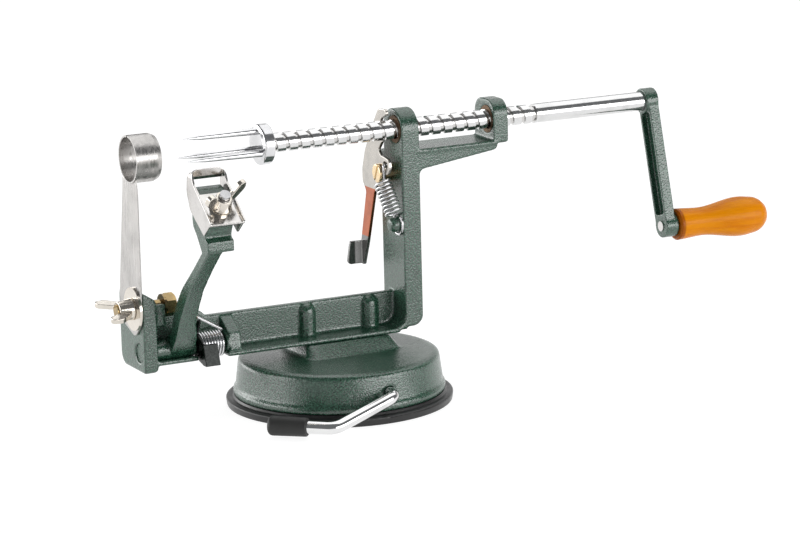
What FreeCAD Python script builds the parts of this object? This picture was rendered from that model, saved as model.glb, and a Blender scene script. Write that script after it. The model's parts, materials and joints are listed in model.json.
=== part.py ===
import FreeCAD, Part
import math
import os

V = FreeCAD.Vector

# Hand-cranked peeler, corer and slicer on a suction base.
# Millimetres. Origin at the centre of the suction disc's underside, +Z up,
# +X along the feed shaft towards the crank, -Y towards the person who turns it.

# Suction base
DISC_DIA = 110.0
DISC_EDGE = 4.0
DISC_WEB = 3.2
DISC_HOLLOW = 1.4
DISC_CONTACT_WIDTH = 8.0
SEAT_HEIGHT = 5.2
SEAT_INSET = 4.2
BASE_FLANGE_DIA = 102.6
BASE_FLANGE_HEIGHT = 4.2
BASE_FOOT_DIA = 100.4
BASE_TOP_DIA = 97.0
BASE_TOP = 23.5
BASE_WALL = 3.0
BASE_EDGE_RADIUS = 2.0
SADDLE_TOP = 28.9
SADDLE_LEFT = -17.0
SADDLE_RIGHT = 27.0
SADDLE_SPREAD = 3.5
SADDLE_SPREAD_FRONT = 9.5
SADDLE_SPREAD_BACK = 8.0
SADDLE_LEDGE = 1.6
SADDLE_TOP_CORNER = 3.0
SADDLE_FOOT_CORNER = 6.5
SADDLE_SINK = 1.0
SCREW_PAD = 3.0

# Clamp lever, its cam and the stud that lifts the rubber
LEVER_Z = 13.5
LEVER_YAW = 3.5
LEVER_DIA = 6.0
LEVER_EXIT = 55.5
LEVER_BEND_LEFT = 38.8
LEVER_BEND_OUT = 65.6
LEVER_TIP_LEFT = 60.4
LEVER_TIP_OUT = 43.2
LEVER_DROP = 7.9
LEVER_BEND_RADIUS = 6.5
LEVER_INNER_END = 17.5
TIP_DIA = 9.5
TIP_LENGTH = 19.2
TIP_END_WALL = 1.2
CAM_DIA = 9.0
CAM_LENGTH = 10.0
CAM_THROW = 1.25
STUD_DIA = 20.0
STUD_PLATE_DIA = 28.0
STUD_PLATE = 1.6
STUD_GAP = 0.3
STUD_STRAP = 3.0
WINDOW_GAP = 0.45
GUIDE_WALL = 2.6
GUIDE_FOOT_GAP = 3.4
ROOF_POCKET_GAP = 0.8
CLIP_DIA = 10.0
CLIP_THICKNESS = 1.0
CLIP_GAP = 0.2
SLIDE_GAP = 0.1

# Frame casting
FRAME_FRONT = -1.4
FRAME_DEPTH = 24.0
FLANGE_THICKNESS = 2.2
WEB_SETBACK = 12.9
WEB_THICKNESS = 4.0
WEB_HEIGHT = 18.2
FLANGE_END = 33.0
GUSSET_RISE = 9.8
GUSSET_FLAT = 9.5
GUSSET_LENGTH = 28.0
RIB_DIA = 8.2
RIB_BELOW_TOP = 0.5
RIB_IN_FRONT = 0.3
RIB_FIRST_X = -11.0
RIB_SPACING = 33.5
COLUMN_X = 36.1
COLUMN_WIDTH = 9.6
COLUMN_FOOT_RISE = 2.4
COLUMN_FOOT_RADIUS = 7.0
INNER_CORNER = 7.0
BRIDGE_TOP_DROP = 9.8
BRIDGE_END_DEPTH = 4.2
BRIDGE_ROOT_DEPTH = 10.0
BRIDGE_FILLET = 5.0
BRIDGE_WALL = 4.0
BRIDGE_PLATE = 3.4
BRIDGE_BACK_STEP = 1.5
BEAD_DIA = 2.4
BEAD_RAISE = 0.3
BEARING_SPACING = 50.2
RIGHT_BOSS_WIDTH = 8.1
BOSS_DEPTH = 20.4
BOSS_RISE = 9.8
BOSS_LOWER = 11.2
BOSS_CORNER = 1.8

# End block that holds the slicer and the pivot pin
BLOCK_LEFT = -101.2
BLOCK_THICKNESS = 7.1
BLOCK_DEPTH = 29.5
BLOCK_BELOW_BEAM = 3.1
BLOCK_HEIGHT = 39.4
BLOCK_CORNER = 6.0
BLOCK_TOP_SLOPE = 4.6
CLAMP_SETBACK = 7.4
CLAMP_RISE = 30.7
CLAMP_BOLT_DIA = 6.0
CRADLE_LENGTH = 5.4
CRADLE_RISE = 1.7
CRADLE_DROP = 11.0
CLAMP_HEAD_ACROSS = 10.0
CLAMP_HEAD_HEIGHT = 5.0
CLAMP_WASHER_DIA = 10.8
CLAMP_WASHER = 1.2
CLAMP_BOLT_REACH = 9.4

# Feed shaft with its helical groove
SHAFT_DIA = 9.5
SHAFT_SETBACK = 8.0
SHAFT_Z = 127.8
THREAD_PITCH = 6.35
GROOVE_WIDTH = 2.2
GROOVE_FLOOR = 1.8
GROOVE_DEPTH = 0.9
THREAD_END = 110.4
RELIEF_WIDTH = 2.6
RELIEF_DEPTH = 1.0
SHAFT_LEFT = -36.0
FORK_HUB_DIA = 19.6
FORK_HUB_LENGTH = 5.2
FORK_HUB_END = 0.8
PRONG_COUNT = 3
PRONG_CIRCLE = 13.0
PRONG_DIA = 3.4
PRONG_LENGTH = 38.5
PRONG_POINT = 9.0
PRONG_SEAT = 3.0
PRONG_TIP_DIA = 0.5
BUSH_DIA = 12.4
BUSH_COLLAR_DIA = 13.4
BUSH_COLLAR = 0.9
RUNNING_GAP = 0.05
SHAFT_GAP = 0.09

# Crank and handle
CRANK_X = 173.5
CRANK_RADIUS = 63.2
CRANK_ANGLE = 15.4
CRANK_HUB_DIA = 12.6
CRANK_HUB_LENGTH = 6.8
CRANK_ARM_THICKNESS = 5.4
CRANK_ARM_INSET = 1.4
CRANK_WIDTH = 10.8
CRANK_BOSS_DIA = 11.6
CRANK_BOSS_LENGTH = 8.4
CRANK_GROOVE_WIDTH = 8.0
CRANK_GROOVE_DEPTH = 3.0
CRANK_GROOVE_END = 1.6
CRANK_SOCKET = 5.6
RIVET_DIA = 5.0
RIVET_PROUD = 0.6
RIVET_HEAD_DIA = 8.6
RIVET_HEAD = 1.6
GRIP_GAP = 0.3
GRIP_LENGTH = 51.0
GRIP_COLLAR_DIA = 15.8
GRIP_NECK_DIA = 14.2
GRIP_BELLY_DIA = 19.8
GRIP_END_DIA = 11.0
GRIP_RECESS = 2.2

# Feed pawl: the plate whose tooth runs in the groove
PAWL_THICKNESS = 1.6
PAWL_GAP = 3.8
PAWL_PIVOT_IN = 6.6
PAWL_PIVOT_DROP = 22.0
TOOTH_THICKNESS = 0.9
TOOTH_BITE = 0.6
TOOTH_HALF_HEIGHT = 1.2
PAWL_CLEARANCE = 1.0
PAWL_EAR_OUT = 6.8
PAWL_EAR_RISE = 5.1
PAWL_EAR_HOLE = 3.0
PAWL_EAR_SLOT = 4.8
THUMB_WIDTH = 9.6
THUMB_IN = 28.8
THUMB_DROP = 59.2
THUMB_LENGTH = 11.4
PAWL_SCREW_DIA = 5.0
PAWL_SCREW_THREAD = 4.0
PAWL_SCREW_HEAD = 9.2
PAWL_SCREW_HEAD_HEIGHT = 1.5
PAWL_SCREW_SLOT_ANGLE = 25.0
PAWL_SCREW_GRIP = 7.0
PAWL_SPACER_DIA = 9.0
PAWL_SIDE_GAP = 0.2
PAWL_SPRING_WIRE = 1.2
PAWL_SPRING_DIA = 9.0
PAWL_SPRING_TURNS = 9
POST_SETBACK = 4.4
POST_DROP = 46.1
POST_LENGTH = 5.8
POST_END_RADIUS = 2.8
POST_FOOT_DIA = 8.0
POST_TIP_DIA = 7.0
HOOK_GAP = 0.3
SPRING_TOP_LEFT = 3.3
SPRING_TOP_OUT = 1.2
SPRING_TOP_DROP = 7.6
SPRING_LOW_LEFT = 5.2
SPRING_LOW_OUT = 4.6
SPRING_LOW_RISE = 6.5

# Peeling arm, its pivot, spring and catch
PIVOT_SETBACK = 6.9
PIVOT_RISE = 6.0
PIN_DIA = 5.5
PIN_HEAD_DIA = 9.0
PIN_HEAD = 2.0
PIN_RECESS = 0.8
HUB_DIA = 9.6
HUB_GAP = 0.3
HUB_LENGTH = 20.3
ARM_LEFT = -87.0
ARM_WIDTH = 8.4
ARM_NECK_WIDTH = 7.2
ARM_FOOT_WIDTH = 11.6
HEAD_WIDTH = 13.2
BLADE_OUT = 55.4
BLADE_BELOW_SHAFT = 16.9
BLADE_TILT = 51.0
BLADE_PLATE_LENGTH = 18.9
BLADE_WIDTH = 17.6
BLADE_SHEET = 1.0
BLADE_RIM = 1.6
BLADE_FLANGE = 9.4
BLADE_TOP_RISE = 17.3
BLADE_CUT_INSET = 14.4
BLADE_EDGE_HEIGHT = 5.2
BLADE_BOLT_DIA = 5.0
BLADE_BOLT_GRIP = 9.0
BLADE_BOLT_REACH = 11.0
BLADE_HOLE_GAP = 0.1
BLADE_WASHER_DIA = 10.4
BLADE_WASHER = 1.0
CATCH_THICKNESS = 1.0
CATCH_GAP = 0.5
CATCH_TAB_WIDTH = 7.4
CATCH_FINGER_RISE = 14.0
ARM_SPRING_WIRE = 1.3
ARM_SPRING_DIA = 13.2
ARM_SPRING_TURNS = 8
ARM_SPRING_PITCH = 1.45
ARM_SPRING_TURN = 170.0
SPRING_LEG_REACH = 5.0
NOTCH_GAP = 0.2
SPRING_SIDE_GAP = 0.6
HUB_SIDE_GAP = 0.4
LUG_GAP = 0.6
LUG_LENGTH = 7.5
LUG_DIA = 9.8

# Slicer and corer
SLICER_SHEET = 1.2
SLICER_LOW_WIDTH = 25.6
SLICER_HIGH_WIDTH = 17.0
SLICER_FOOT = 13.8
SLICER_SHOULDER = 11.0
SLICER_OFFSET = 5.0
SLICER_HOLE_GAP = 0.15
CORER_BORE = 21.0
CORER_WALL = 0.9
CORER_LENGTH = 13.0
CORER_SEAM = 1.2
BEVEL_WIDTH = 6.5
EDGE_THICKNESS = 0.4
SLICER_WASHER_DIA = 20.6
SLICER_WASHER = 1.2

# Wing nuts
NUT_HUB_DIA = 9.6
NUT_HUB_HEIGHT = 6.6
NUT_HUB_TAPER = 1.0
NUT_WING_REACH = 12.0
NUT_WING_HEIGHT = 12.6
NUT_WING_THICKNESS = 2.4
CLAMP_NUT_HUB_DIA = 10.6
CLAMP_NUT_HUB_HEIGHT = 7.4
CLAMP_NUT_REACH = 12.6
CLAMP_NUT_HEIGHT = 14.6
CLAMP_NUT_TURN = 80.0
BLADE_NUT_TURN = 22.0
NUT_GAP = 0.08

# Screws between base and frame
BASE_SCREW_DIA = 4.0
BASE_SCREW_HEAD = 8.0
BASE_SCREW_HEAD_HEIGHT = 2.6
BASE_SCREW_DEPTH = 12.0
SCREW_HOLE_GAP = 0.2
SLOT_WIDTH = 1.2

# Places worked out from the sizes above
ROOF = BASE_TOP - BASE_WALL
BEAM_Z = SADDLE_TOP
FLANGE_TOP = BEAM_Z + FLANGE_THICKNESS
WEB_FRONT = FRAME_FRONT + WEB_SETBACK
WEB_BACK = WEB_FRONT + WEB_THICKNESS
WEB_MID = WEB_FRONT + WEB_THICKNESS / 2
WEB_TOP = BEAM_Z + WEB_HEIGHT
FRAME_BACK = FRAME_FRONT + FRAME_DEPTH
COLUMN_RIGHT = COLUMN_X + COLUMN_WIDTH
SHAFT_Y = FRAME_FRONT + SHAFT_SETBACK
SHAFT_R = SHAFT_DIA / 2
BOSS_TOP = SHAFT_Z + BOSS_RISE
BRIDGE_TOP = SHAFT_Z - BRIDGE_TOP_DROP
RIGHT_BOSS_X = COLUMN_X + BEARING_SPACING
RIGHT_BOSS_END = RIGHT_BOSS_X + RIGHT_BOSS_WIDTH
BLOCK_RIGHT = BLOCK_LEFT + BLOCK_THICKNESS
BLOCK_FOOT = BEAM_Z - BLOCK_BELOW_BEAM
BLOCK_TOP = BLOCK_FOOT + BLOCK_HEIGHT
CLAMP_Y = FRAME_FRONT + CLAMP_SETBACK
CLAMP_Z = BLOCK_FOOT + CLAMP_RISE
CRADLE_TOP = CLAMP_Z + CRADLE_RISE
PIVOT_Y = FRAME_FRONT + PIVOT_SETBACK
PIVOT_Z = BEAM_Z + PIVOT_RISE
PIVOT_POINT = (PIVOT_Y, PIVOT_Z)
POST_Y = FRAME_FRONT + POST_SETBACK
POST_Z = SHAFT_Z - POST_DROP
PAWL_PIVOT_Y = SHAFT_Y + PAWL_PIVOT_IN
PAWL_PIVOT_Z = SHAFT_Z - PAWL_PIVOT_DROP
PAWL_EAR_Y = PAWL_PIVOT_Y - PAWL_EAR_OUT
PAWL_EAR_Z = PAWL_PIVOT_Z + PAWL_EAR_RISE
THUMB_Y = SHAFT_Y + THUMB_IN
THUMB_TOP = SHAFT_Z - THUMB_DROP
THUMB_LOW = THUMB_TOP - THUMB_LENGTH
PAWL_RIGHT = COLUMN_X - PAWL_GAP
PAWL_LEFT = PAWL_RIGHT - PAWL_THICKNESS
PAWL_MID = PAWL_LEFT + PAWL_THICKNESS / 2
HUB_LEFT = BLOCK_RIGHT + HUB_GAP
HUB_RIGHT = HUB_LEFT + HUB_LENGTH
CATCH_LEFT = HUB_RIGHT + CATCH_GAP
CATCH_RIGHT = CATCH_LEFT + CATCH_THICKNESS
ARM_SPRING_LEFT = CATCH_RIGHT + CATCH_GAP + ARM_SPRING_WIRE / 2
ARM_SPRING_LENGTH = ARM_SPRING_TURNS * ARM_SPRING_PITCH
LUG_LEFT = ARM_SPRING_LEFT + ARM_SPRING_LENGTH + ARM_SPRING_WIRE / 2 + LUG_GAP
LUG_RIGHT = LUG_LEFT + LUG_LENGTH
HEAD_MID = ARM_LEFT + HEAD_WIDTH / 2
BLADE_CENTRE_Y = SHAFT_Y - BLADE_OUT
BLADE_CENTRE_Z = SHAFT_Z - BLADE_BELOW_SHAFT
BLADE_TOP_Z = BLADE_CENTRE_Z + BLADE_TOP_RISE
CUT_Y = BLADE_CENTRE_Y + BLADE_CUT_INSET
CRANK_Y = SHAFT_Y - CRANK_RADIUS * math.sin(math.radians(CRANK_ANGLE))
CRANK_Z = SHAFT_Z - CRANK_RADIUS * math.cos(math.radians(CRANK_ANGLE))
RIB_XS = [RIB_FIRST_X, RIB_FIRST_X + RIB_SPACING]
SLICER_LEFT = BLOCK_LEFT - SLICER_SHEET
SLICER_MID_Y = CLAMP_Y + SLICER_OFFSET


# Helpers for flat outlines and round pieces
def corner(before, here, after, radius):
    if radius == 0:
        return here, here, here
    u = (before - here).normalize()
    w = (after - here).normalize()
    half = math.acos(max(-1.0, min(1.0, u.dot(w)))) / 2
    reach = radius / math.tan(half)
    longest = 0.49 * min((before - here).Length, (after - here).Length)
    if reach > longest:
        reach = longest
        radius = reach * math.tan(half)
    middle = here + (u + w).normalize() * (radius / math.sin(half))
    top = middle + (here - middle).normalize() * radius
    return here + u * reach, top, here + w * reach


def rounded_wire(points, radii, closed):
    count = len(points)
    bends = []
    for i in range(count):
        end = not closed and i in (0, count - 1)
        radius = 0 if end else radii[i]
        bends.append(corner(points[i - 1], points[i], points[(i + 1) % count], radius))
    edges = []
    for i in range(count):
        start, top, stop = bends[i]
        if (stop - start).Length > 1e-6:
            edges.append(Part.Arc(start, top, stop).toShape())
        if i < count - 1 or closed:
            following = bends[(i + 1) % count][0]
            if (following - stop).Length > 1e-6:
                edges.append(Part.LineSegment(stop, following).toShape())
    return Part.Wire(edges)


def flat_face(outline, place):
    points = [place(p[0], p[1]) for p in outline]
    radii = [p[2] if len(p) > 2 else 0 for p in outline]
    return Part.Face(rounded_wire(points, radii, True))


def slab_x(outline, x0, x1):
    face = flat_face(outline, lambda y, z: V(x0, y, z))
    return face.extrude(V(x1 - x0, 0, 0))


def slab_y(outline, y0, y1):
    face = flat_face(outline, lambda x, z: V(x, y0, z))
    return face.extrude(V(0, y1 - y0, 0))


def slab_z(outline, z0, z1):
    face = flat_face(outline, lambda x, y: V(x, y, z0))
    return face.extrude(V(0, 0, z1 - z0))


def block(x0, x1, y0, y1, z0, z1):
    return Part.makeBox(x1 - x0, y1 - y0, z1 - z0, V(x0, y0, z0))


def rod_x(x0, x1, y, z, dia):
    return Part.makeCylinder(dia / 2, x1 - x0, V(x0, y, z), V(1, 0, 0))


def rod_y(y0, y1, x, z, dia):
    return Part.makeCylinder(dia / 2, y1 - y0, V(x, y0, z), V(0, 1, 0))


def rod_z(z0, z1, x, y, dia):
    return Part.makeCylinder(dia / 2, z1 - z0, V(x, y, z0), V(0, 0, 1))


def turned_z(outline):
    face = flat_face(outline, lambda r, z: V(r, 0, z))
    return face.revolve(V(0, 0, 0), V(0, 0, 1), 360)


def turned_x(outline, y, z):
    face = flat_face(outline, lambda x, r: V(x, y, z + r))
    return face.revolve(V(0, y, z), V(1, 0, 0), 360)


def swept_rod(points, radii, dia):
    path = rounded_wire(points, radii, False)
    along = (points[1] - points[0]).normalize()
    ring = Part.Wire([Part.makeCircle(dia / 2, points[0], along)])
    return path.makePipeShell([ring], True, False)


def fused(first, others):
    return first.multiFuse(others).removeSplitter()


def hexagon_x(x0, x1, y, z, across):
    corner_radius = across / math.sqrt(3)
    outline = []
    for i in range(6):
        angle = math.radians(30 + 60 * i)
        outline.append((y + corner_radius * math.cos(angle), z + corner_radius * math.sin(angle)))
    prism = slab_x(outline, x0, x1)
    cone_height = (x1 - x0) * 3
    crown = Part.makeCone(corner_radius + cone_height - (x1 - x0) * 0.4, corner_radius * 0.86,
                          cone_height, V(x1 - cone_height, y, z), V(1, 0, 0))
    return prism.common(crown)


def yawed(shape):
    shape.rotate(V(0, 0, 0), V(0, 0, 1), LEVER_YAW)
    return shape


def wing_nut(bore, hub_dia, hub_height, reach, height):
    hub = Part.makeCone(hub_dia / 2, hub_dia / 2 - NUT_HUB_TAPER, hub_height)
    inner = hub_dia / 2 - NUT_HUB_TAPER - 1.2
    outline = [(inner, 1.6, 0.5), (reach * 0.62, 3.2, 3.0), (reach, height * 0.62, 3.0),
               (reach - 0.6, height, 2.2), (reach * 0.66, height - 0.4, 2.2),
               (inner + 1.0, hub_height - 0.8, 2.0), (inner, hub_height - 0.8)]
    half = NUT_WING_THICKNESS / 2
    right = slab_y(outline, -half, half)
    left = right.copy()
    left.rotate(V(0, 0, 0), V(0, 0, 1), 180)
    body = fused(hub, [right, left])
    return body.cut(Part.makeCylinder(bore / 2, height * 3, V(0, 0, -height)))


# Suction base
def suction_disc():
    edge = DISC_DIA / 2
    seat = BASE_FLANGE_DIA / 2
    contact_inner = edge - DISC_CONTACT_WIDTH
    outline = [(0, DISC_HOLLOW), (contact_inner - 3, DISC_HOLLOW, 3.0), (contact_inner, 0, 0.5),
               (edge - 0.5, 0, 0.4), (edge, DISC_EDGE - 0.4, 0.8), (edge - 1.6, DISC_EDGE, 0.5),
               (seat + 0.4, DISC_EDGE, 0.4), (seat - 0.2, SEAT_HEIGHT, 0.3),
               (seat - SEAT_INSET, SEAT_HEIGHT, 0.8), (seat - SEAT_INSET - 2, DISC_WEB, 1.0),
               (0, DISC_WEB)]
    return turned_z(outline)


def base_casting():
    flange = BASE_FLANGE_DIA / 2
    foot = BASE_FOOT_DIA / 2
    top = BASE_TOP_DIA / 2
    lip_top = SEAT_HEIGHT + BASE_FLANGE_HEIGHT
    outline = [(flange - BASE_WALL - 1.2, SEAT_HEIGHT), (flange, SEAT_HEIGHT, 0.6),
               (flange, lip_top - 1.2, 1.0), (foot, lip_top, 0.5),
               (top, BASE_TOP - 0.6, BASE_EDGE_RADIUS), (top - 3, BASE_TOP, 1.5),
               (0, BASE_TOP), (0, ROOF), (top - BASE_WALL, ROOF, 3.0)]
    body = turned_z(outline)
    guide = STUD_DIA + 2 * SLIDE_GAP
    tube = rod_z(SEAT_HEIGHT + GUIDE_FOOT_GAP, ROOF + 1, 0, 0, guide + 2 * GUIDE_WALL)
    pads = [rod_z(ROOF - SCREW_PAD, ROOF + 1, x, WEB_MID, BASE_SCREW_HEAD + 4) for x in RIB_XS]
    body = fused(body, [saddle(), tube] + pads)
    pocket_top = stud_top() + 2 * CAM_THROW + ROOF_POCKET_GAP
    body = body.cut(rod_z(0, pocket_top, 0, 0, guide))
    hole = rod_y(-flange - 5, LEVER_INNER_END, 0, LEVER_Z, LEVER_DIA + 2 * SLIDE_GAP)
    body = body.cut(yawed(hole))
    for x in RIB_XS:
        body = body.cut(rod_z(0, SADDLE_TOP + 1, x, WEB_MID, BASE_SCREW_DIA + 2 * SCREW_HOLE_GAP))
    return body


def saddle():
    front = FRAME_FRONT - SADDLE_LEDGE
    upper = rounded_rectangle(SADDLE_LEFT, SADDLE_RIGHT, front, FRAME_BACK, SADDLE_TOP, SADDLE_TOP_CORNER)
    lower = rounded_rectangle(SADDLE_LEFT - SADDLE_SPREAD, SADDLE_RIGHT + SADDLE_SPREAD,
                              front - SADDLE_SPREAD_FRONT, FRAME_BACK + SADDLE_SPREAD_BACK,
                              BASE_TOP - SADDLE_SINK, SADDLE_FOOT_CORNER)
    return Part.makeLoft([lower, upper], True, True)


def rounded_rectangle(x0, x1, y0, y1, z, radius):
    corners = [V(x0, y0, z), V(x1, y0, z), V(x1, y1, z), V(x0, y1, z)]
    return rounded_wire(corners, [radius] * len(corners), True)


def cam_z():
    return LEVER_Z - CAM_THROW


def stud_top():
    return cam_z() + CAM_DIA / 2 + WINDOW_GAP + STUD_STRAP


def suction_stud():
    foot = DISC_WEB + STUD_GAP
    plate = rod_z(foot, foot + STUD_PLATE, 0, 0, STUD_PLATE_DIA)
    body = fused(plate, [rod_z(foot, stud_top(), 0, 0, STUD_DIA)])
    half_width = CAM_DIA / 2 + CAM_THROW + WINDOW_GAP
    low = cam_z() - CAM_DIA / 2 - WINDOW_GAP
    high = cam_z() + CAM_DIA / 2 + WINDOW_GAP
    outline = [(-half_width, low, 2.0), (half_width, low, 2.0),
               (half_width, high, 2.0), (-half_width, high, 2.0)]
    window = slab_y(outline, -STUD_DIA, STUD_DIA)
    return yawed(body.cut(window))


def clamp_lever():
    points = [V(0, LEVER_INNER_END, LEVER_Z), V(0, -LEVER_EXIT, LEVER_Z),
              V(-LEVER_BEND_LEFT, -LEVER_BEND_OUT, LEVER_Z - LEVER_DROP),
              V(-LEVER_TIP_LEFT, -LEVER_TIP_OUT, LEVER_Z - LEVER_DROP)]
    bend = LEVER_BEND_RADIUS
    return yawed(swept_rod(points, [0, bend, bend, 0], LEVER_DIA))


def lever_cam():
    half = CAM_LENGTH / 2
    cam = rod_y(-half, half, 0, cam_z(), CAM_DIA)
    return yawed(cam.cut(rod_y(-half - 1, half + 1, 0, LEVER_Z, LEVER_DIA)))


def lever_tip():
    end = V(-LEVER_TIP_LEFT, -LEVER_TIP_OUT, LEVER_Z - LEVER_DROP)
    bend = V(-LEVER_BEND_LEFT, -LEVER_BEND_OUT, LEVER_Z - LEVER_DROP)
    inward = (bend - end).normalize()
    outer = TIP_DIA / 2
    inner_end = TIP_LENGTH - TIP_END_WALL
    outline = [(0, -TIP_END_WALL), (outer, -TIP_END_WALL, 2.2), (outer * 0.94, inner_end, 0.8),
               (0, inner_end)]
    cap = turned_z(outline)
    cap = cap.cut(rod_z(0, TIP_LENGTH, 0, 0, LEVER_DIA))
    turn = FreeCAD.Rotation(V(0, 0, 1), inward)
    cap.Placement = FreeCAD.Placement(end, turn)
    return yawed(cap)


def lever_clip():
    y0 = STUD_DIA / 2 + SLIDE_GAP + GUIDE_WALL + CLIP_GAP
    ring = rod_y(y0, y0 + CLIP_THICKNESS, 0, LEVER_Z, CLIP_DIA)
    return yawed(ring.cut(rod_y(y0 - 1, y0 + CLIP_THICKNESS + 1, 0, LEVER_Z, LEVER_DIA)))


def frame_screw(x):
    seat = ROOF - SCREW_PAD
    low = seat - BASE_SCREW_HEAD_HEIGHT
    shank = rod_z(seat, FLANGE_TOP + BASE_SCREW_DEPTH, x, WEB_MID, BASE_SCREW_DIA)
    head = Part.makeCone(BASE_SCREW_HEAD / 2 - 0.8, BASE_SCREW_HEAD / 2, BASE_SCREW_HEAD_HEIGHT,
                         V(x, WEB_MID, low))
    half = SLOT_WIDTH / 2
    slot = block(x - half, x + half, WEB_MID - BASE_SCREW_HEAD, WEB_MID + BASE_SCREW_HEAD, low - 1, low + 1)
    return fused(shank, [head]).cut(slot)


# Frame casting, piece by piece
def beam():
    y0 = FRAME_FRONT
    y1 = FRAME_BACK
    left = BLOCK_RIGHT - 1
    flange = slab_x([(y0, BEAM_Z, 0.5), (y1, BEAM_Z, 0.5), (y1, FLANGE_TOP, 0.5), (y0, FLANGE_TOP, 0.5)],
                    left, FLANGE_END)
    gusset_top = WEB_TOP + GUSSET_RISE
    gusset_foot = BLOCK_RIGHT + GUSSET_LENGTH
    web = slab_y([(left, BEAM_Z), (COLUMN_X + 1, BEAM_Z), (COLUMN_X + 1, WEB_TOP),
                  (gusset_foot + 2.5, WEB_TOP, 2.0), (gusset_foot, WEB_TOP + 2.4, 1.0),
                  (BLOCK_RIGHT + GUSSET_FLAT, gusset_top, 4.0), (left, gusset_top)],
                 WEB_FRONT, WEB_BACK)
    return [flange, web] + [rib(x) for x in RIB_XS]


def rib(x):
    radius = RIB_DIA / 2
    y = WEB_FRONT + RIB_IN_FRONT
    shoulder = WEB_TOP - RIB_BELOW_TOP - radius
    dome = Part.makeSphere(radius, V(x, y, shoulder))
    return rod_z(BEAM_Z, shoulder, x, y, RIB_DIA).fuse(dome)


def column():
    foot = BEAM_Z + COLUMN_FOOT_RISE
    outline = [(FLANGE_END - 3, BEAM_Z), (FLANGE_END - 0.4, BEAM_Z, 0.5), (FLANGE_END + 1.6, foot, 0.8),
               (COLUMN_RIGHT, foot, COLUMN_FOOT_RADIUS), (COLUMN_RIGHT, BRIDGE_TOP - 2),
               (COLUMN_X, BRIDGE_TOP - 2), (COLUMN_X, FLANGE_TOP, INNER_CORNER),
               (FLANGE_END - 3, FLANGE_TOP)]
    return slab_y(outline, FRAME_FRONT, FRAME_BACK)


def bearing_boss(x0, x1, low):
    front = FRAME_FRONT
    back = FRAME_FRONT + BOSS_DEPTH
    arch = BOSS_DEPTH / 2
    return slab_x([(front, low), (back, low), (back, BOSS_TOP, arch), (front, BOSS_TOP, arch)], x0, x1)


def bridge():
    right = RIGHT_BOSS_X + 2.0
    root = BRIDGE_TOP - BRIDGE_ROOT_DEPTH
    outline = [(COLUMN_RIGHT - 1, BRIDGE_TOP), (COLUMN_RIGHT - 1, root - BRIDGE_FILLET),
               (COLUMN_RIGHT, root - BRIDGE_FILLET), (COLUMN_RIGHT, root, BRIDGE_FILLET),
               (right, BRIDGE_TOP - BRIDGE_END_DEPTH, 3.0), (right, BRIDGE_TOP)]
    solid = slab_y(outline, FRAME_FRONT, FRAME_BACK - BRIDGE_BACK_STEP)
    pocket = block(COLUMN_RIGHT, right - 3, FRAME_FRONT + BRIDGE_WALL, FRAME_BACK,
                   root - 10, BRIDGE_TOP - BRIDGE_PLATE)
    inset = BEAD_DIA / 2 - BEAD_RAISE
    bead = rod_x(COLUMN_RIGHT - 1, right, FRAME_FRONT + inset, BRIDGE_TOP - inset, BEAD_DIA)
    return [solid.cut(pocket), bead]


def right_boss_foot():
    low = SHAFT_Z - BOSS_LOWER
    outline = [(RIGHT_BOSS_X, low), (RIGHT_BOSS_END, low, BOSS_CORNER), (RIGHT_BOSS_END, SHAFT_Z),
               (RIGHT_BOSS_X, SHAFT_Z)]
    return slab_y(outline, FRAME_FRONT, FRAME_FRONT + BOSS_DEPTH)


def end_block():
    y0 = FRAME_FRONT
    y1 = FRAME_FRONT + BLOCK_DEPTH
    side = slab_x([(y0, BLOCK_FOOT, 1.5), (y1, BLOCK_FOOT, BLOCK_CORNER), (y1, BLOCK_TOP, BLOCK_CORNER),
                   (y0, BLOCK_TOP, 1.0)], BLOCK_LEFT, BLOCK_RIGHT)
    front = slab_y([(BLOCK_LEFT, BLOCK_FOOT, 0.6), (BLOCK_RIGHT, BLOCK_FOOT, 2.2),
                    (BLOCK_RIGHT, BLOCK_TOP - BLOCK_TOP_SLOPE, 3.0), (BLOCK_LEFT, BLOCK_TOP, 0.6)],
                   y0 - 1, y1 + 1)
    return side.common(front)


def clamp_cradle():
    y0 = CLAMP_Y - CLAMP_BOLT_DIA / 2 - 2.4
    outline = [(y0, CRADLE_TOP - CRADLE_DROP, 2.0), (WEB_FRONT + 1, CRADLE_TOP - CRADLE_DROP),
               (WEB_FRONT + 1, CRADLE_TOP), (y0, CRADLE_TOP, 1.0)]
    return slab_x(outline, BLOCK_RIGHT - 1, BLOCK_RIGHT + CRADLE_LENGTH)


def pivot_lug():
    radius = LUG_DIA / 2
    round_part = rod_x(LUG_LEFT, LUG_RIGHT, PIVOT_Y, PIVOT_Z, LUG_DIA)
    outline = [(PIVOT_Y - radius, PIVOT_Z), (FRAME_FRONT + 0.6, FLANGE_TOP - 1),
               (WEB_FRONT + 1, FLANGE_TOP - 1), (WEB_FRONT + 1, WEB_TOP - 0.4),
               (PIVOT_Y - radius + 0.6, PIVOT_Z + radius, 2.0)]
    plate = slab_x(outline, LUG_LEFT + 1.2, LUG_RIGHT)
    return [round_part, plate]


def spring_post():
    end = COLUMN_X - POST_LENGTH
    return turned_x([(COLUMN_X + 1, 0), (COLUMN_X + 1, POST_FOOT_DIA / 2),
                     (end, POST_TIP_DIA / 2, POST_END_RADIUS), (end, 0)], POST_Y, POST_Z)


def frame_casting():
    pieces = beam() + bridge() + pivot_lug()
    pieces += [bearing_boss(COLUMN_X, COLUMN_RIGHT, BRIDGE_TOP - BRIDGE_ROOT_DEPTH),
               bearing_boss(RIGHT_BOSS_X, RIGHT_BOSS_END, SHAFT_Z - SHAFT_R),
               right_boss_foot(), end_block(), clamp_cradle(), spring_post()]
    body = fused(column(), pieces)
    for cutter in bearing_bores() + pivot_bores() + fastener_bores():
        body = body.cut(cutter)
    return body


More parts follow.
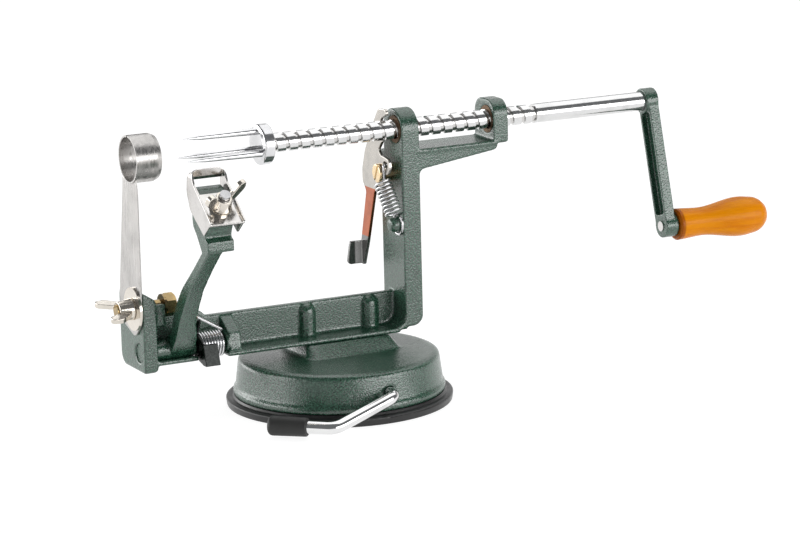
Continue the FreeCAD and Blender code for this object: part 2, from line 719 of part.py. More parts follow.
def bearing_bores():
    cutters = [rod_x(COLUMN_X - 1, RIGHT_BOSS_END + 1, SHAFT_Y, SHAFT_Z, BUSH_DIA + 2 * RUNNING_GAP)]
    for x in (COLUMN_X, RIGHT_BOSS_X):
        depth = BUSH_COLLAR + RUNNING_GAP
        cutters.append(rod_x(x - 1, x + depth, SHAFT_Y, SHAFT_Z, BUSH_COLLAR_DIA + 2 * RUNNING_GAP))
    return cutters


def pivot_bores():
    left = BLOCK_LEFT - 1
    notch_left = HUB_RIGHT
    notch_right = LUG_LEFT - NOTCH_GAP
    return [rod_x(left, LUG_RIGHT + 1, PIVOT_Y, PIVOT_Z, PIN_DIA),
            rod_x(left, BLOCK_LEFT + PIN_RECESS + PIN_HEAD, PIVOT_Y, PIVOT_Z, PIN_HEAD_DIA + 0.1),
            block(notch_left, notch_right, FRAME_FRONT - 2, WEB_FRONT, BEAM_Z - 1, FLANGE_TOP + 1),
            rod_x(notch_left, notch_right, PIVOT_Y, PIVOT_Z, ARM_SPRING_DIA + 2 * SPRING_SIDE_GAP),
            rod_x(BLOCK_RIGHT, notch_left + 1, PIVOT_Y, PIVOT_Z, HUB_DIA + 2 * HUB_SIDE_GAP)]


def fastener_bores():
    cutters = [rod_x(BLOCK_LEFT - 1, clamp_seat() + 1, CLAMP_Y, CLAMP_Z, CLAMP_BOLT_DIA),
               rod_x(COLUMN_X - 1, COLUMN_X + PAWL_SCREW_GRIP, PAWL_PIVOT_Y, PAWL_PIVOT_Z,
                     PAWL_SCREW_THREAD)]
    for x in RIB_XS:
        cutters.append(rod_z(BEAM_Z - 1, FLANGE_TOP + BASE_SCREW_DEPTH, x, WEB_MID, BASE_SCREW_DIA))
    return cutters


# Pivot pin, clamp bolt and washers
def pivot_pin():
    x0 = BLOCK_LEFT + PIN_RECESS
    head = rod_x(x0, x0 + PIN_HEAD, PIVOT_Y, PIVOT_Z, PIN_HEAD_DIA)
    return fused(head, [rod_x(x0, LUG_RIGHT - 0.4, PIVOT_Y, PIVOT_Z, PIN_DIA)])


def clamp_seat():
    return BLOCK_RIGHT + CRADLE_LENGTH


def clamp_washer():
    x0 = clamp_seat()
    ring = rod_x(x0, x0 + CLAMP_WASHER, CLAMP_Y, CLAMP_Z, CLAMP_WASHER_DIA)
    return ring.cut(rod_x(x0 - 1, x0 + CLAMP_WASHER + 1, CLAMP_Y, CLAMP_Z, CLAMP_BOLT_DIA))


def clamp_bolt():
    x0 = clamp_seat() + CLAMP_WASHER
    head = hexagon_x(x0, x0 + CLAMP_HEAD_HEIGHT, CLAMP_Y, CLAMP_Z, CLAMP_HEAD_ACROSS)
    shank = rod_x(SLICER_LEFT - CLAMP_BOLT_REACH, x0 + 1, CLAMP_Y, CLAMP_Z, CLAMP_BOLT_DIA)
    return fused(head, [shank])


# Slicer and corer
def slicer_outline():
    half_low = SLICER_LOW_WIDTH / 2
    half_high = SLICER_HIGH_WIDTH / 2
    mid = SLICER_MID_Y
    shoulder = CLAMP_Z + SLICER_SHOULDER
    foot = CLAMP_Z - SLICER_FOOT
    return [(mid - half_low + 1.6, CLAMP_Z - SLICER_FOOT * 0.55, 4.0), (mid - 4.4, foot, 4.5),
            (mid + half_low - 1, CLAMP_Z - SLICER_FOOT * 0.6, 6.0), (mid + half_low, shoulder - 6, 8.0),
            (SHAFT_Y + half_high, SHAFT_Z - 16, 8.0), (SHAFT_Y + half_high * 0.8, SHAFT_Z - 2),
            (SHAFT_Y - half_high * 0.8, SHAFT_Z - 2), (SHAFT_Y - half_high, SHAFT_Z - 16, 8.0),
            (mid - half_low, shoulder, 8.0)]


def slicer_blade():
    strip = slab_x(slicer_outline(), SLICER_LEFT, BLOCK_LEFT)
    outer = CORER_BORE + 2 * CORER_WALL
    hole = CLAMP_BOLT_DIA + 2 * SLICER_HOLE_GAP
    strip = strip.cut(rod_x(SLICER_LEFT - 1, BLOCK_LEFT + 1, SHAFT_Y, SHAFT_Z, outer))
    strip = strip.cut(rod_x(SLICER_LEFT - 1, BLOCK_LEFT + 1, CLAMP_Y, CLAMP_Z, hole))
    low = V(SLICER_LEFT, SLICER_MID_Y - SLICER_LOW_WIDTH / 2, CLAMP_Z + SLICER_SHOULDER)
    high = V(SLICER_LEFT, SHAFT_Y - SLICER_HIGH_WIDTH / 2, SHAFT_Z - 8)
    return strip.cut(bevel_wedge(low, high))


def bevel_wedge(low, high):
    deep = SLICER_SHEET - EDGE_THICKNESS
    sections = []
    for place, width in ((low, 0.4), (high, BEVEL_WIDTH)):
        share = width / BEVEL_WIDTH
        corners = [V(-1, width, 0), V(0, width, 0), V(deep * share, -0.4, 0), V(deep * share, -3, 0),
                   V(-1, -3, 0)]
        sections.append(Part.makePolygon([place + c for c in corners] + [place + corners[0]]))
    return Part.makeLoft(sections, True, True)


def corer_ring():
    outer = CORER_BORE / 2 + CORER_WALL
    inner = CORER_BORE / 2
    x0 = SLICER_LEFT
    x1 = SLICER_LEFT + CORER_LENGTH
    tube = turned_x([(x0, inner), (x1, inner), (x1 - 2.2, outer), (x0, outer)], SHAFT_Y, SHAFT_Z)
    half = CORER_SEAM / 2
    seam = block(x0 - 1, x1 + 1, SHAFT_Y - half, SHAFT_Y + half, SHAFT_Z, SHAFT_Z + outer + 1)
    return tube.cut(seam)


def slicer_washer():
    x0 = SLICER_LEFT - SLICER_WASHER
    ring = rod_x(x0, SLICER_LEFT, CLAMP_Y, CLAMP_Z, SLICER_WASHER_DIA)
    return ring.cut(rod_x(x0 - 1, SLICER_LEFT + 1, CLAMP_Y, CLAMP_Z, CLAMP_BOLT_DIA + 2 * SLICER_HOLE_GAP))


def slicer_wing_nut():
    nut = wing_nut(CLAMP_BOLT_DIA + 2 * NUT_GAP, CLAMP_NUT_HUB_DIA, CLAMP_NUT_HUB_HEIGHT,
                   CLAMP_NUT_REACH, CLAMP_NUT_HEIGHT)
    turn = FreeCAD.Rotation(V(0, 1, 0), -90).multiply(FreeCAD.Rotation(V(0, 0, 1), CLAMP_NUT_TURN))
    seat = SLICER_LEFT - SLICER_WASHER - NUT_GAP
    nut.Placement = FreeCAD.Placement(V(seat, CLAMP_Y, CLAMP_Z), turn)
    return nut


# Feed shaft, fork and bushes
def groove():
    start = SHAFT_LEFT + 2.0
    length = THREAD_END - start
    helix = Part.makeHelix(THREAD_PITCH, length, SHAFT_R)
    floor = GROOVE_FLOOR / 2
    mouth = GROOVE_WIDTH / 2
    extra = 0.3
    flare = mouth + (mouth - floor) * extra / GROOVE_DEPTH
    inner = SHAFT_R - GROOVE_DEPTH
    outer = SHAFT_R + extra
    corners = [V(inner, 0, -floor), V(outer, 0, -flare), V(outer, 0, flare), V(inner, 0, floor)]
    ring = Part.makePolygon(corners + [corners[0]])
    cutter = Part.Wire(helix.Edges).makePipeShell([Part.Wire(ring.Edges)], True, True)
    cutter.rotate(V(0, 0, 0), V(0, 1, 0), 90)
    turns = (PAWL_MID - start) / THREAD_PITCH
    cutter.rotate(V(0, 0, 0), V(1, 0, 0), 90 - 360 * turns)
    cutter.translate(V(start, SHAFT_Y, SHAFT_Z))
    return cutter


def feed_shaft():
    end = CRANK_X + CRANK_SOCKET
    shaft = turned_x([(SHAFT_LEFT, 0), (end, 0), (end, SHAFT_R - 0.4), (end - 0.4, SHAFT_R),
                      (SHAFT_LEFT, SHAFT_R)], SHAFT_Y, SHAFT_Z)
    shaft = shaft.cut(groove())
    left = THREAD_END - 0.8
    right = left + RELIEF_WIDTH
    ring = rod_x(left, right, SHAFT_Y, SHAFT_Z, SHAFT_DIA + 2)
    ring = ring.cut(rod_x(left - 1, right + 1, SHAFT_Y, SHAFT_Z, SHAFT_DIA - 2 * RELIEF_DEPTH))
    shaft = shaft.cut(ring)
    front = SHAFT_Y - SHAFT_DIA
    back = SHAFT_Y + SHAFT_DIA
    upper = block(SHAFT_LEFT - 1, end + 1, front, back, SHAFT_Z, SHAFT_Z + SHAFT_DIA)
    halves = shaft.common(upper).fuse(shaft.cut(upper))
    return round_faces_first(halves.Solids[0])


def round_faces_first(solid):
    faces = sorted(solid.Faces, key=face_rank)
    return Part.Solid(Part.Shell(faces))


def face_rank(face):
    freeform = isinstance(face.Surface, Part.BSplineSurface)
    other = not isinstance(face.Surface, Part.Cylinder)
    return freeform, other, -face.Area


def fork_hub():
    x0 = SHAFT_LEFT
    x1 = SHAFT_LEFT + FORK_HUB_LENGTH
    outer = FORK_HUB_DIA / 2
    hub = turned_x([(x0 - FORK_HUB_END, 0), (x0 - FORK_HUB_END, outer * 0.8), (x0, outer, 1.0),
                    (x1, outer, 0.8), (x1, 0)], SHAFT_Y, SHAFT_Z)
    hub = hub.cut(rod_x(x0, x1 + 1, SHAFT_Y, SHAFT_Z, SHAFT_DIA))
    for number in range(PRONG_COUNT):
        y, z = prong_place(number)
        hub = hub.cut(rod_x(x0 - 2, x0 + PRONG_SEAT, y, z, PRONG_DIA))
    return hub


def prong_place(number):
    angle = math.radians(90 + 360 / PRONG_COUNT * number)
    radius = PRONG_CIRCLE / 2
    return SHAFT_Y + radius * math.cos(angle), SHAFT_Z + radius * math.sin(angle)


def fork_prong(number):
    y, z = prong_place(number)
    radius = PRONG_DIA / 2
    x0 = SHAFT_LEFT - PRONG_LENGTH
    x1 = SHAFT_LEFT + PRONG_SEAT
    return turned_x([(x0, 0), (x0, PRONG_TIP_DIA / 2), (x0 + PRONG_POINT, radius - 0.5),
                     (SHAFT_LEFT - 2, radius), (x1, radius), (x1, 0)], y, z)


def bush(x0, width):
    body = rod_x(x0 + RUNNING_GAP, x0 + width, SHAFT_Y, SHAFT_Z, BUSH_DIA)
    collar = rod_x(x0 + RUNNING_GAP, x0 + BUSH_COLLAR, SHAFT_Y, SHAFT_Z, BUSH_COLLAR_DIA)
    bore = rod_x(x0 - 1, x0 + width + 1, SHAFT_Y, SHAFT_Z, SHAFT_DIA + 2 * SHAFT_GAP)
    return fused(body, [collar]).cut(bore)


# Crank and handle
def crank_arm():
    x0 = CRANK_X
    arm_left = x0 + CRANK_ARM_INSET
    low_z = SHAFT_Z - CRANK_RADIUS
    hub = rod_x(x0, x0 + CRANK_HUB_LENGTH, SHAFT_Y, SHAFT_Z, CRANK_HUB_DIA)
    boss = rod_x(arm_left, x0 + CRANK_BOSS_LENGTH, SHAFT_Y, low_z, CRANK_BOSS_DIA)
    half = CRANK_WIDTH / 2
    bar = block(arm_left, arm_left + CRANK_ARM_THICKNESS, SHAFT_Y - half, SHAFT_Y + half, low_z, SHAFT_Z)
    body = fused(hub, [boss, bar])
    half = CRANK_GROOVE_WIDTH / 2
    top = SHAFT_Z - CRANK_HUB_DIA / 2
    low = low_z + CRANK_BOSS_DIA / 2
    end = CRANK_GROOVE_END
    channel = slab_x([(SHAFT_Y - half, low, end), (SHAFT_Y + half, low, end), (SHAFT_Y + half, top, end),
                      (SHAFT_Y - half, top, end)], x0 - 1, arm_left + CRANK_GROOVE_DEPTH)
    body = body.cut(channel)
    body = body.cut(rod_x(x0 - 1, x0 + CRANK_SOCKET, SHAFT_Y, SHAFT_Z, SHAFT_DIA))
    body = body.cut(rod_x(x0 - 1, x0 + CRANK_BOSS_LENGTH + 1, SHAFT_Y, low_z, RIVET_DIA))
    body.rotate(V(0, SHAFT_Y, SHAFT_Z), V(1, 0, 0), -CRANK_ANGLE)
    return body


def grip_left():
    return CRANK_X + CRANK_BOSS_LENGTH + GRIP_GAP


def handle_rivet():
    end = grip_left() + GRIP_LENGTH - GRIP_RECESS
    radius = RIVET_HEAD_DIA / 2
    start = CRANK_X + CRANK_ARM_INSET - RIVET_PROUD
    shank = rod_x(start, end + 0.2, CRANK_Y, CRANK_Z, RIVET_DIA)
    head = turned_x([(end, 0), (end, radius), (end + RIVET_HEAD, radius, 0.9), (end + RIVET_HEAD, 0)],
                    CRANK_Y, CRANK_Z)
    return fused(shank, [head])


def handle_grip():
    x0 = grip_left()
    x1 = x0 + GRIP_LENGTH
    collar = GRIP_COLLAR_DIA / 2
    belly = GRIP_BELLY_DIA / 2
    points = [V(x0 + 0.9, 0, collar), V(x0 + GRIP_LENGTH * 0.10, 0, collar - 0.2),
              V(x0 + GRIP_LENGTH * 0.30, 0, GRIP_NECK_DIA / 2),
              V(x0 + GRIP_LENGTH * 0.53, 0, belly - 1.2), V(x0 + GRIP_LENGTH * 0.76, 0, belly),
              V(x0 + GRIP_LENGTH * 0.92, 0, belly - 1.9), V(x1, 0, GRIP_END_DIA / 2)]
    curve = Part.BSplineCurve()
    curve.interpolate(points)
    straight = [points[-1], V(x1, 0, 0), V(x0, 0, 0), V(x0, 0, collar - 0.9), points[0]]
    edges = [curve.toShape()]
    for start, stop in zip(straight, straight[1:]):
        edges.append(Part.LineSegment(start, stop).toShape())
    body = Part.Face(Part.Wire(edges)).revolve(V(0, 0, 0), V(1, 0, 0), 360)
    body.translate(V(0, CRANK_Y, CRANK_Z))
    body = body.cut(rod_x(x0 - 1, x1 + 1, CRANK_Y, CRANK_Z, RIVET_DIA + 2 * SLIDE_GAP))
    recess = x1 - GRIP_RECESS - SLIDE_GAP
    return body.cut(rod_x(recess, x1 + 1, CRANK_Y, CRANK_Z, RIVET_HEAD_DIA + 4 * SLIDE_GAP))


# Feed pawl and its spring
def pawl_lever():
    near = SHAFT_R + PAWL_CLEARANCE
    y = SHAFT_Y
    z = SHAFT_Z
    ear_y = PAWL_EAR_Y
    ear_z = PAWL_EAR_Z
    left_y = PAWL_PIVOT_Y - 3.7
    outline = [(y - 2.8, z + 8.0, 1.6), (y - 1.2, z + 10.4, 2.0), (y + 6.2, z + 9.7, 3.0),
               (y + 14.2, z - 0.6, 6.0), (y + 22.1, z - 13.1, 6.0), (y + 25.6, z - 22.8, 6.0),
               (y + 25.4, z - 28.8, 3.0), (y + 21.7, z - 33.3, 3.0), (THUMB_Y, THUMB_TOP, 1.0),
               (THUMB_Y + 0.6, THUMB_LOW, 1.0), (THUMB_Y - 2.0, THUMB_LOW - 0.8, 1.0),
               (THUMB_Y - 7.2, THUMB_TOP + 0.4, 2.0), (y + 12.3, z - 31.4, 4.0),
               (left_y, PAWL_PIVOT_Z - 6.8, 3.0), (left_y, ear_z - 5.4, 1.2),
               (ear_y - 2.4, ear_z - 4.6, 2.0), (ear_y - 4.4, ear_z - 1.0, 2.0),
               (ear_y - 3.6, ear_z + 3.0, 2.5), (y + 4.4, z - 13.0, 1.5), (y + 7.6, z - 10.8, 2.5),
               (y + 3.0, z - near - 0.2, 0.6), (y + near, z - 2.4, 1.5), (y + near, z + 2.4, 1.5),
               (y + 2.6, z + near)]
    body = fused(slab_x(outline, PAWL_LEFT, PAWL_RIGHT), [tooth(), thumb_tab()])
    hole = PAWL_SCREW_DIA + 2 * RUNNING_GAP
    body = body.cut(rod_x(PAWL_LEFT - 1, PAWL_RIGHT + 1, PAWL_PIVOT_Y, PAWL_PIVOT_Z, hole))
    reach = PAWL_EAR_HOLE / 2
    side = PAWL_EAR_SLOT / 2
    slot = slab_x([(ear_y - side, ear_z - reach, reach), (ear_y + side, ear_z - reach, reach),
                   (ear_y + side, ear_z + reach, reach), (ear_y - side, ear_z + reach, reach)],
                  PAWL_LEFT - 1, PAWL_RIGHT + 1)
    return body.cut(slot)


def tooth():
    half = TOOTH_THICKNESS / 2
    tip = SHAFT_Y + SHAFT_R - TOOTH_BITE
    root = SHAFT_Y + SHAFT_R + PAWL_CLEARANCE + 1
    low = SHAFT_Z - TOOTH_HALF_HEIGHT
    high = SHAFT_Z + TOOTH_HALF_HEIGHT
    return slab_x([(tip, low, 0.3), (root, low - 0.6), (root, high + 0.6), (tip, high, 0.3)],
                  PAWL_MID - half, PAWL_MID + half)


def thumb_tab():
    left = PAWL_RIGHT - THUMB_WIDTH
    middle = PAWL_LEFT - (THUMB_WIDTH - PAWL_THICKNESS) / 2
    y = THUMB_Y + 0.2
    t = PAWL_THICKNESS
    wave = slab_z([(PAWL_RIGHT, y - t), (PAWL_RIGHT, y, 1.0), (middle, y + 0.7, 2.0), (left, y + 0.2, 0.5),
                   (left, y - t + 0.2, 0.5), (middle, y - t + 0.7, 2.0)], THUMB_LOW, THUMB_TOP)
    front = slab_y([(PAWL_RIGHT, THUMB_TOP), (left + 1.6, THUMB_TOP, 1.0), (left - 0.2, THUMB_LOW, 2.0),
                    (PAWL_RIGHT, THUMB_LOW)], y - 10, y + 10)
    return wave.common(front)


def pawl_screw():
    y = PAWL_PIVOT_Y
    z = PAWL_PIVOT_Z
    x0 = PAWL_LEFT - PAWL_SIDE_GAP - PAWL_SCREW_HEAD_HEIGHT
    x1 = x0 + PAWL_SCREW_HEAD_HEIGHT
    radius = PAWL_SCREW_HEAD / 2
    head = turned_x([(x0, 0), (x0, radius, 0.6), (x1, radius, 0.2), (x1, 0)], y, z)
    shoulder = rod_x(x1 - 0.5, COLUMN_X, y, z, PAWL_SCREW_DIA)
    thread = rod_x(COLUMN_X - 1, COLUMN_X + PAWL_SCREW_GRIP - 0.4, y, z, PAWL_SCREW_THREAD)
    half = SLOT_WIDTH / 2
    slot = block(x0 - 1, x0 + PAWL_SCREW_HEAD_HEIGHT / 2, y - half, y + half, z - radius - 1, z + radius + 1)
    slot.rotate(V(x0, y, z), V(1, 0, 0), PAWL_SCREW_SLOT_ANGLE)
    return fused(head, [shoulder, thread]).cut(slot)


def pawl_spacer():
    x0 = PAWL_RIGHT + PAWL_SIDE_GAP
    ring = rod_x(x0, COLUMN_X, PAWL_PIVOT_Y, PAWL_PIVOT_Z, PAWL_SPACER_DIA)
    return ring.cut(rod_x(x0 - 1, COLUMN_X + 1, PAWL_PIVOT_Y, PAWL_PIVOT_Z, PAWL_SCREW_DIA))


def coil(mean_radius, pitch, turns, wire):
    helix = Part.makeHelix(pitch, pitch * turns, mean_radius)
    ring = Part.Wire([Part.makeCircle(wire / 2, V(mean_radius, 0, 0), V(0, 1, 0))])
    return Part.Wire(helix.Edges).makePipeShell([ring], True, True)


def pawl_spring():
    wire = PAWL_SPRING_WIRE
    mean = (PAWL_SPRING_DIA - wire) / 2
    top = V(PAWL_MID - SPRING_TOP_LEFT, PAWL_EAR_Y - SPRING_TOP_OUT, PAWL_EAR_Z - SPRING_TOP_DROP)
    low = V(COLUMN_X - SPRING_LOW_LEFT, POST_Y - SPRING_LOW_OUT, POST_Z + SPRING_LOW_RISE)
    along = low - top
    body = coil(mean, along.Length / PAWL_SPRING_TURNS, PAWL_SPRING_TURNS, wire)
    placement = FreeCAD.Placement(top, FreeCAD.Rotation(V(0, 0, 1), along))
    body.Placement = placement
    upper_end = placement.multVec(V(mean, 0, 0))
    lower_end = placement.multVec(V(mean, 0, along.Length))
    return fused(body, [ear_hook(upper_end), post_ring(lower_end)])


def ear_hook(start):
    left = PAWL_LEFT - PAWL_SPRING_WIRE / 2 - HOOK_GAP
    right = PAWL_RIGHT + PAWL_SPRING_WIRE / 2 + HOOK_GAP
    y = PAWL_EAR_Y
    z = PAWL_EAR_Z
    points = [start, V(left, y, z - 2.2), V(left, y, z), V(right, y, z), V(right, y, z - 3.2)]
    return swept_rod(points, [0, 1.5, 1.4, 1.4, 0], PAWL_SPRING_WIRE)


def post_ring(start):
    radius = POST_FOOT_DIA / 2 + HOOK_GAP + PAWL_SPRING_WIRE / 2
    x = COLUMN_X - HOOK_GAP - PAWL_SPRING_WIRE / 2
    reach = radius / math.cos(math.radians(22.5))
    points = [start]
    for number in range(7):
        angle = math.radians(60 - 45 * number)
        points.append(V(x, POST_Y + reach * math.cos(angle), POST_Z + reach * math.sin(angle)))
    angle = math.radians(127.5)
    points.append(V(x, POST_Y + radius * math.cos(angle), POST_Z + radius * math.sin(angle)))
    return swept_rod(points, [0] + [radius] * 7 + [0], PAWL_SPRING_WIRE)


def arm_point(share, side):
    dy = BLADE_CENTRE_Y - PIVOT_Y
    dz = BLADE_CENTRE_Z - PIVOT_Z
    length = math.hypot(dy, dz)
    return PIVOT_Y + share * dy - side * dz / length, PIVOT_Z + share * dz + side * dy / length


# Peeling arm
def tilted(s, n):
    angle = math.radians(BLADE_TILT)
    y = BLADE_CENTRE_Y + s * math.sin(angle) - n * math.cos(angle)
    z = BLADE_CENTRE_Z + s * math.cos(angle) + n * math.sin(angle)
    return y, z


def arm_outline():
    shares = [(0.145, -1.0, 8.0), (0.255, -3.5, 30.0), (0.423, -2.4, 30.0), (0.619, 2.5, 30.0),
              (0.772, 5.8, 0), (0.813, 2.9, 0), (0.850, 7.8, 0), (0.822, 11.3, 0), (0.669, 8.2, 30.0),
              (0.472, 4.6, 30.0), (0.261, 4.3, 30.0)]
    outline = [(PIVOT_Y + 2.0, PIVOT_Z + 4.3)]
    for share, side, radius in shares:
        y, z = arm_point(share, side)
        outline.append((y, z, radius))
    return outline + [(PIVOT_Y - 12.0, PIVOT_Z + 7.1, 6.0), (PIVOT_Y - 4.4, PIVOT_Z - 1.8), PIVOT_POINT]


def head_outline():
    half = BLADE_PLATE_LENGTH / 2
    places = [(-7.1, -20.9, 0), (1.6, -18.7, 3.0), (7.5, -18.1, 4.0), (17.0, -7.2, 5.0), (17.9, -2.4, 4.0),
              (13.3, -0.1, 2.0), (half - 0.6, 0, 0), (-half + 5.6, 0, 2.0), (-4.6, -8.2, 3.0),
              (-5.8, -12.4, 1.5), (-8.9, -11.7, 1.0), (-12.4, -15.6, 1.0)]
    return [tilted(s, n) + (radius,) for s, n, radius in places]


def peeling_arm():
    hub = rod_x(HUB_LEFT, HUB_RIGHT, PIVOT_Y, PIVOT_Z, HUB_DIA)
    bar = slab_x(arm_outline(), ARM_LEFT, ARM_LEFT + ARM_FOOT_WIDTH)
    length = BLADE_CENTRE_Z - PIVOT_Z
    foot_right = ARM_LEFT + ARM_FOOT_WIDTH
    neck_right = ARM_LEFT + ARM_NECK_WIDTH
    low = PIVOT_Z - 10
    high = PIVOT_Z + 0.87 * length
    face = slab_y([(ARM_LEFT, low), (foot_right, low), (foot_right, PIVOT_Z + 4, 10.0),
                   (ARM_LEFT + ARM_WIDTH, PIVOT_Z + 17, 20.0), (neck_right, PIVOT_Z + 0.6 * length, 20.0),
                   (neck_right, high), (ARM_LEFT, high)], BLADE_CENTRE_Y - 12, PIVOT_Y + 15)
    head = slab_x(head_outline(), ARM_LEFT, ARM_LEFT + HEAD_WIDTH)
    body = fused(hub, [bar.common(face), head])
    body = body.cut(rod_x(HUB_LEFT - 1, HUB_RIGHT + 1, PIVOT_Y, PIVOT_Z, PIN_DIA + 2 * RUNNING_GAP))
    socket = Part.makeCylinder(BLADE_BOLT_DIA / 2, BLADE_BOLT_GRIP + 5, V(0, 0, -BLADE_BOLT_GRIP))
    return body.cut(on_blade_axis(socket, 0))


def on_blade_axis(shape, n):
    y, z = tilted(0, n)
    turn = FreeCAD.Rotation(V(1, 0, 0), 90 - BLADE_TILT)
    shape.Placement = FreeCAD.Placement(V(HEAD_MID, y, z), turn).multiply(shape.Placement)
    return shape


def peeling_blade():
    x0 = HEAD_MID - BLADE_WIDTH / 2
    x1 = HEAD_MID + BLADE_WIDTH / 2
    half = BLADE_PLATE_LENGTH / 2
    t = BLADE_SHEET
    plate = slab_x([tilted(-half, 0), tilted(half, 0), tilted(half, t), tilted(-half, t)], x0, x1)
    y = CUT_Y
    top = BLADE_TOP_Z
    rim = t + BLADE_RIM
    side = [tilted(-half, rim), tilted(-half + 2.2, -BLADE_FLANGE + 1.0),
            tilted(half + 0.6, -BLADE_FLANGE - 1.0) + (4.0,), (y + 3.6, top - 11.0, 8.0),
            (y + 2.6, top - 4.4, 5.0), (y - 0.2, top, 1.4), (y - 2.0, top - 0.4, 1.0),
            (y - 4.6, top - 6.6, 6.0), tilted(half, rim)]
    sides = [slab_x(side, x0, x0 + t), slab_x(side, x1 - t, x1)]
    low = top - BLADE_EDGE_HEIGHT
    edge = slab_x([(y - 1.9, top), (y - 1.0, top), (y + 0.1, low + 1.6), (y + 0.2, low),
                   (y - 0.8, low + 1.6)], x0, x1)
    reach = 3 * BLADE_PLATE_LENGTH
    front = slab_y([(x0, top - reach), (x1, top - reach), (x1, top, 4.0), (x0, top, 4.0)],
                   y - reach, y + reach)
    body = fused(plate, sides + [edge]).common(front)
    hole = Part.makeCylinder(BLADE_BOLT_DIA / 2 + BLADE_HOLE_GAP, 10, V(0, 0, -5))
    return body.cut(on_blade_axis(hole, 0))


def blade_bolt():
    length = BLADE_BOLT_GRIP + BLADE_BOLT_REACH
    shank = Part.makeCylinder(BLADE_BOLT_DIA / 2, length, V(0, 0, -BLADE_BOLT_GRIP))
    return on_blade_axis(shank, 0)


def blade_washer():
    ring = Part.makeCylinder(BLADE_WASHER_DIA / 2, BLADE_WASHER)
    hole = Part.makeCylinder(BLADE_BOLT_DIA / 2 + BLADE_HOLE_GAP, BLADE_WASHER * 3, V(0, 0, -BLADE_WASHER))
    return on_blade_axis(ring.cut(hole), BLADE_SHEET)


def blade_wing_nut():
    nut = wing_nut(BLADE_BOLT_DIA + 2 * NUT_GAP, NUT_HUB_DIA, NUT_HUB_HEIGHT, NUT_WING_REACH,
                   NUT_WING_HEIGHT)
    nut.rotate(V(0, 0, 0), V(0, 0, 1), BLADE_NUT_TURN)
    return on_blade_axis(nut, BLADE_SHEET + BLADE_WASHER + NUT_GAP)


def arm_catch():
    y = PIVOT_Y
    z = PIVOT_Z
    finger = z + CATCH_FINGER_RISE
    outline = [(y - 8.1, finger, 0.8), (y - 4.9, finger - 0.5, 0.8), (y + 1.2, z + 7.0, 4.0),
               (y + 5.2, z + 2.0, 4.0), (y + 3.4, z - 4.2, 4.0), (y - 11.0, z - 7.7, 1.0),
               (y - 14.3, z - 7.4, 0.5), (y - 11.2, z + 2.6, 0.6), (y - 3.4, z + 6.6, 1.5)]
    plate = slab_x(outline, CATCH_LEFT, CATCH_RIGHT)
    tab = slab_x([(y - 14.3, z - 7.4), (y - 11.2, z + 2.6), (y - 10.2, z + 2.5), (y - 13.2, z - 7.7)],
                 CATCH_LEFT, CATCH_LEFT + CATCH_TAB_WIDTH)
    hole = rod_x(CATCH_LEFT - 1, CATCH_RIGHT + 1, y, z, PIN_DIA + 2 * RUNNING_GAP)
    return fused(plate, [tab]).cut(hole)


def arm_spring():
    mean = (ARM_SPRING_DIA - ARM_SPRING_WIRE) / 2
    body = coil(mean, ARM_SPRING_PITCH, ARM_SPRING_TURNS, ARM_SPRING_WIRE)
    body.rotate(V(0, 0, 0), V(0, 1, 0), 90)
    body.rotate(V(0, 0, 0), V(1, 0, 0), ARM_SPRING_TURN)
    body.translate(V(ARM_SPRING_LEFT, PIVOT_Y, PIVOT_Z))
    return fused(body, [spring_leg(mean)])


def spring_leg(mean):
    angle = math.radians(ARM_SPRING_TURN)
    x = ARM_SPRING_LEFT + ARM_SPRING_LENGTH
    start = V(x, PIVOT_Y + mean * math.sin(angle), PIVOT_Z - mean * math.cos(angle))
    bend = start + V(0, math.cos(angle), math.sin(angle)) * SPRING_LEG_REACH
    finger_top = PIVOT_Z + CATCH_FINGER_RISE
    end = V(CATCH_LEFT - 0.6, PIVOT_Y - 6.6, finger_top + ARM_SPRING_WIRE / 2 + HOOK_GAP + 0.4)
    return swept_rod([start, bend, end], [0, 2.5, 0], ARM_SPRING_WIRE)


NODES = {
    "suction_disc": suction_disc,
    "base_casting": base_casting,
    "suction_stud": suction_stud,
    "clamp_lever": clamp_lever,
    "lever_cam": lever_cam,
    "lever_tip": lever_tip,
    "lever_clip": lever_clip,
    "frame_casting": frame_casting,
    "pivot_pin": pivot_pin,
    "clamp_bolt": clamp_bolt,
    "clamp_washer": clamp_washer,
    "slicer_blade": slicer_blade,
    "corer_ring": corer_ring,
    "slicer_washer": slicer_washer,
    "slicer_wing_nut": slicer_wing_nut,
    "feed_shaft": feed_shaft,
    "fork_hub": fork_hub,
    "left_bush": lambda: bush(COLUMN_X, COLUMN_WIDTH),
    "right_bush": lambda: bush(RIGHT_BOSS_X, RIGHT_BOSS_WIDTH),
    "crank_arm": crank_arm,
    "handle_rivet": handle_rivet,
    "handle_grip": handle_grip,
    "pawl_lever": pawl_lever,
    "pawl_screw": pawl_screw,
    "pawl_spacer": pawl_spacer,
    "pawl_spring": pawl_spring,
    "peeling_arm": peeling_arm,
    "peeling_blade": peeling_blade,
    "blade_bolt": blade_bolt,
    "blade_washer": blade_washer,
    "blade_wing_nut": blade_wing_nut,
    "arm_catch": arm_catch,
    "arm_spring": arm_spring,
}

for number, x in enumerate(RIB_XS):
    NODES["frame_screw_" + str(number + 1)] = lambda x=x: frame_screw(x)
for number in range(PRONG_COUNT):
    NODES["fork_prong_" + str(number + 1)] = lambda number=number: fork_prong(number)

os.makedirs("parts", exist_ok=True)
for name, make in NODES.items():
    shape = make()
    print(name, shape.isValid(), len(shape.Solids), round(shape.Volume, 1))
    shape.exportStep("parts/" + name + ".step")
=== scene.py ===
import bpy
import bmesh
import json
import math
from mathutils import Matrix, Vector


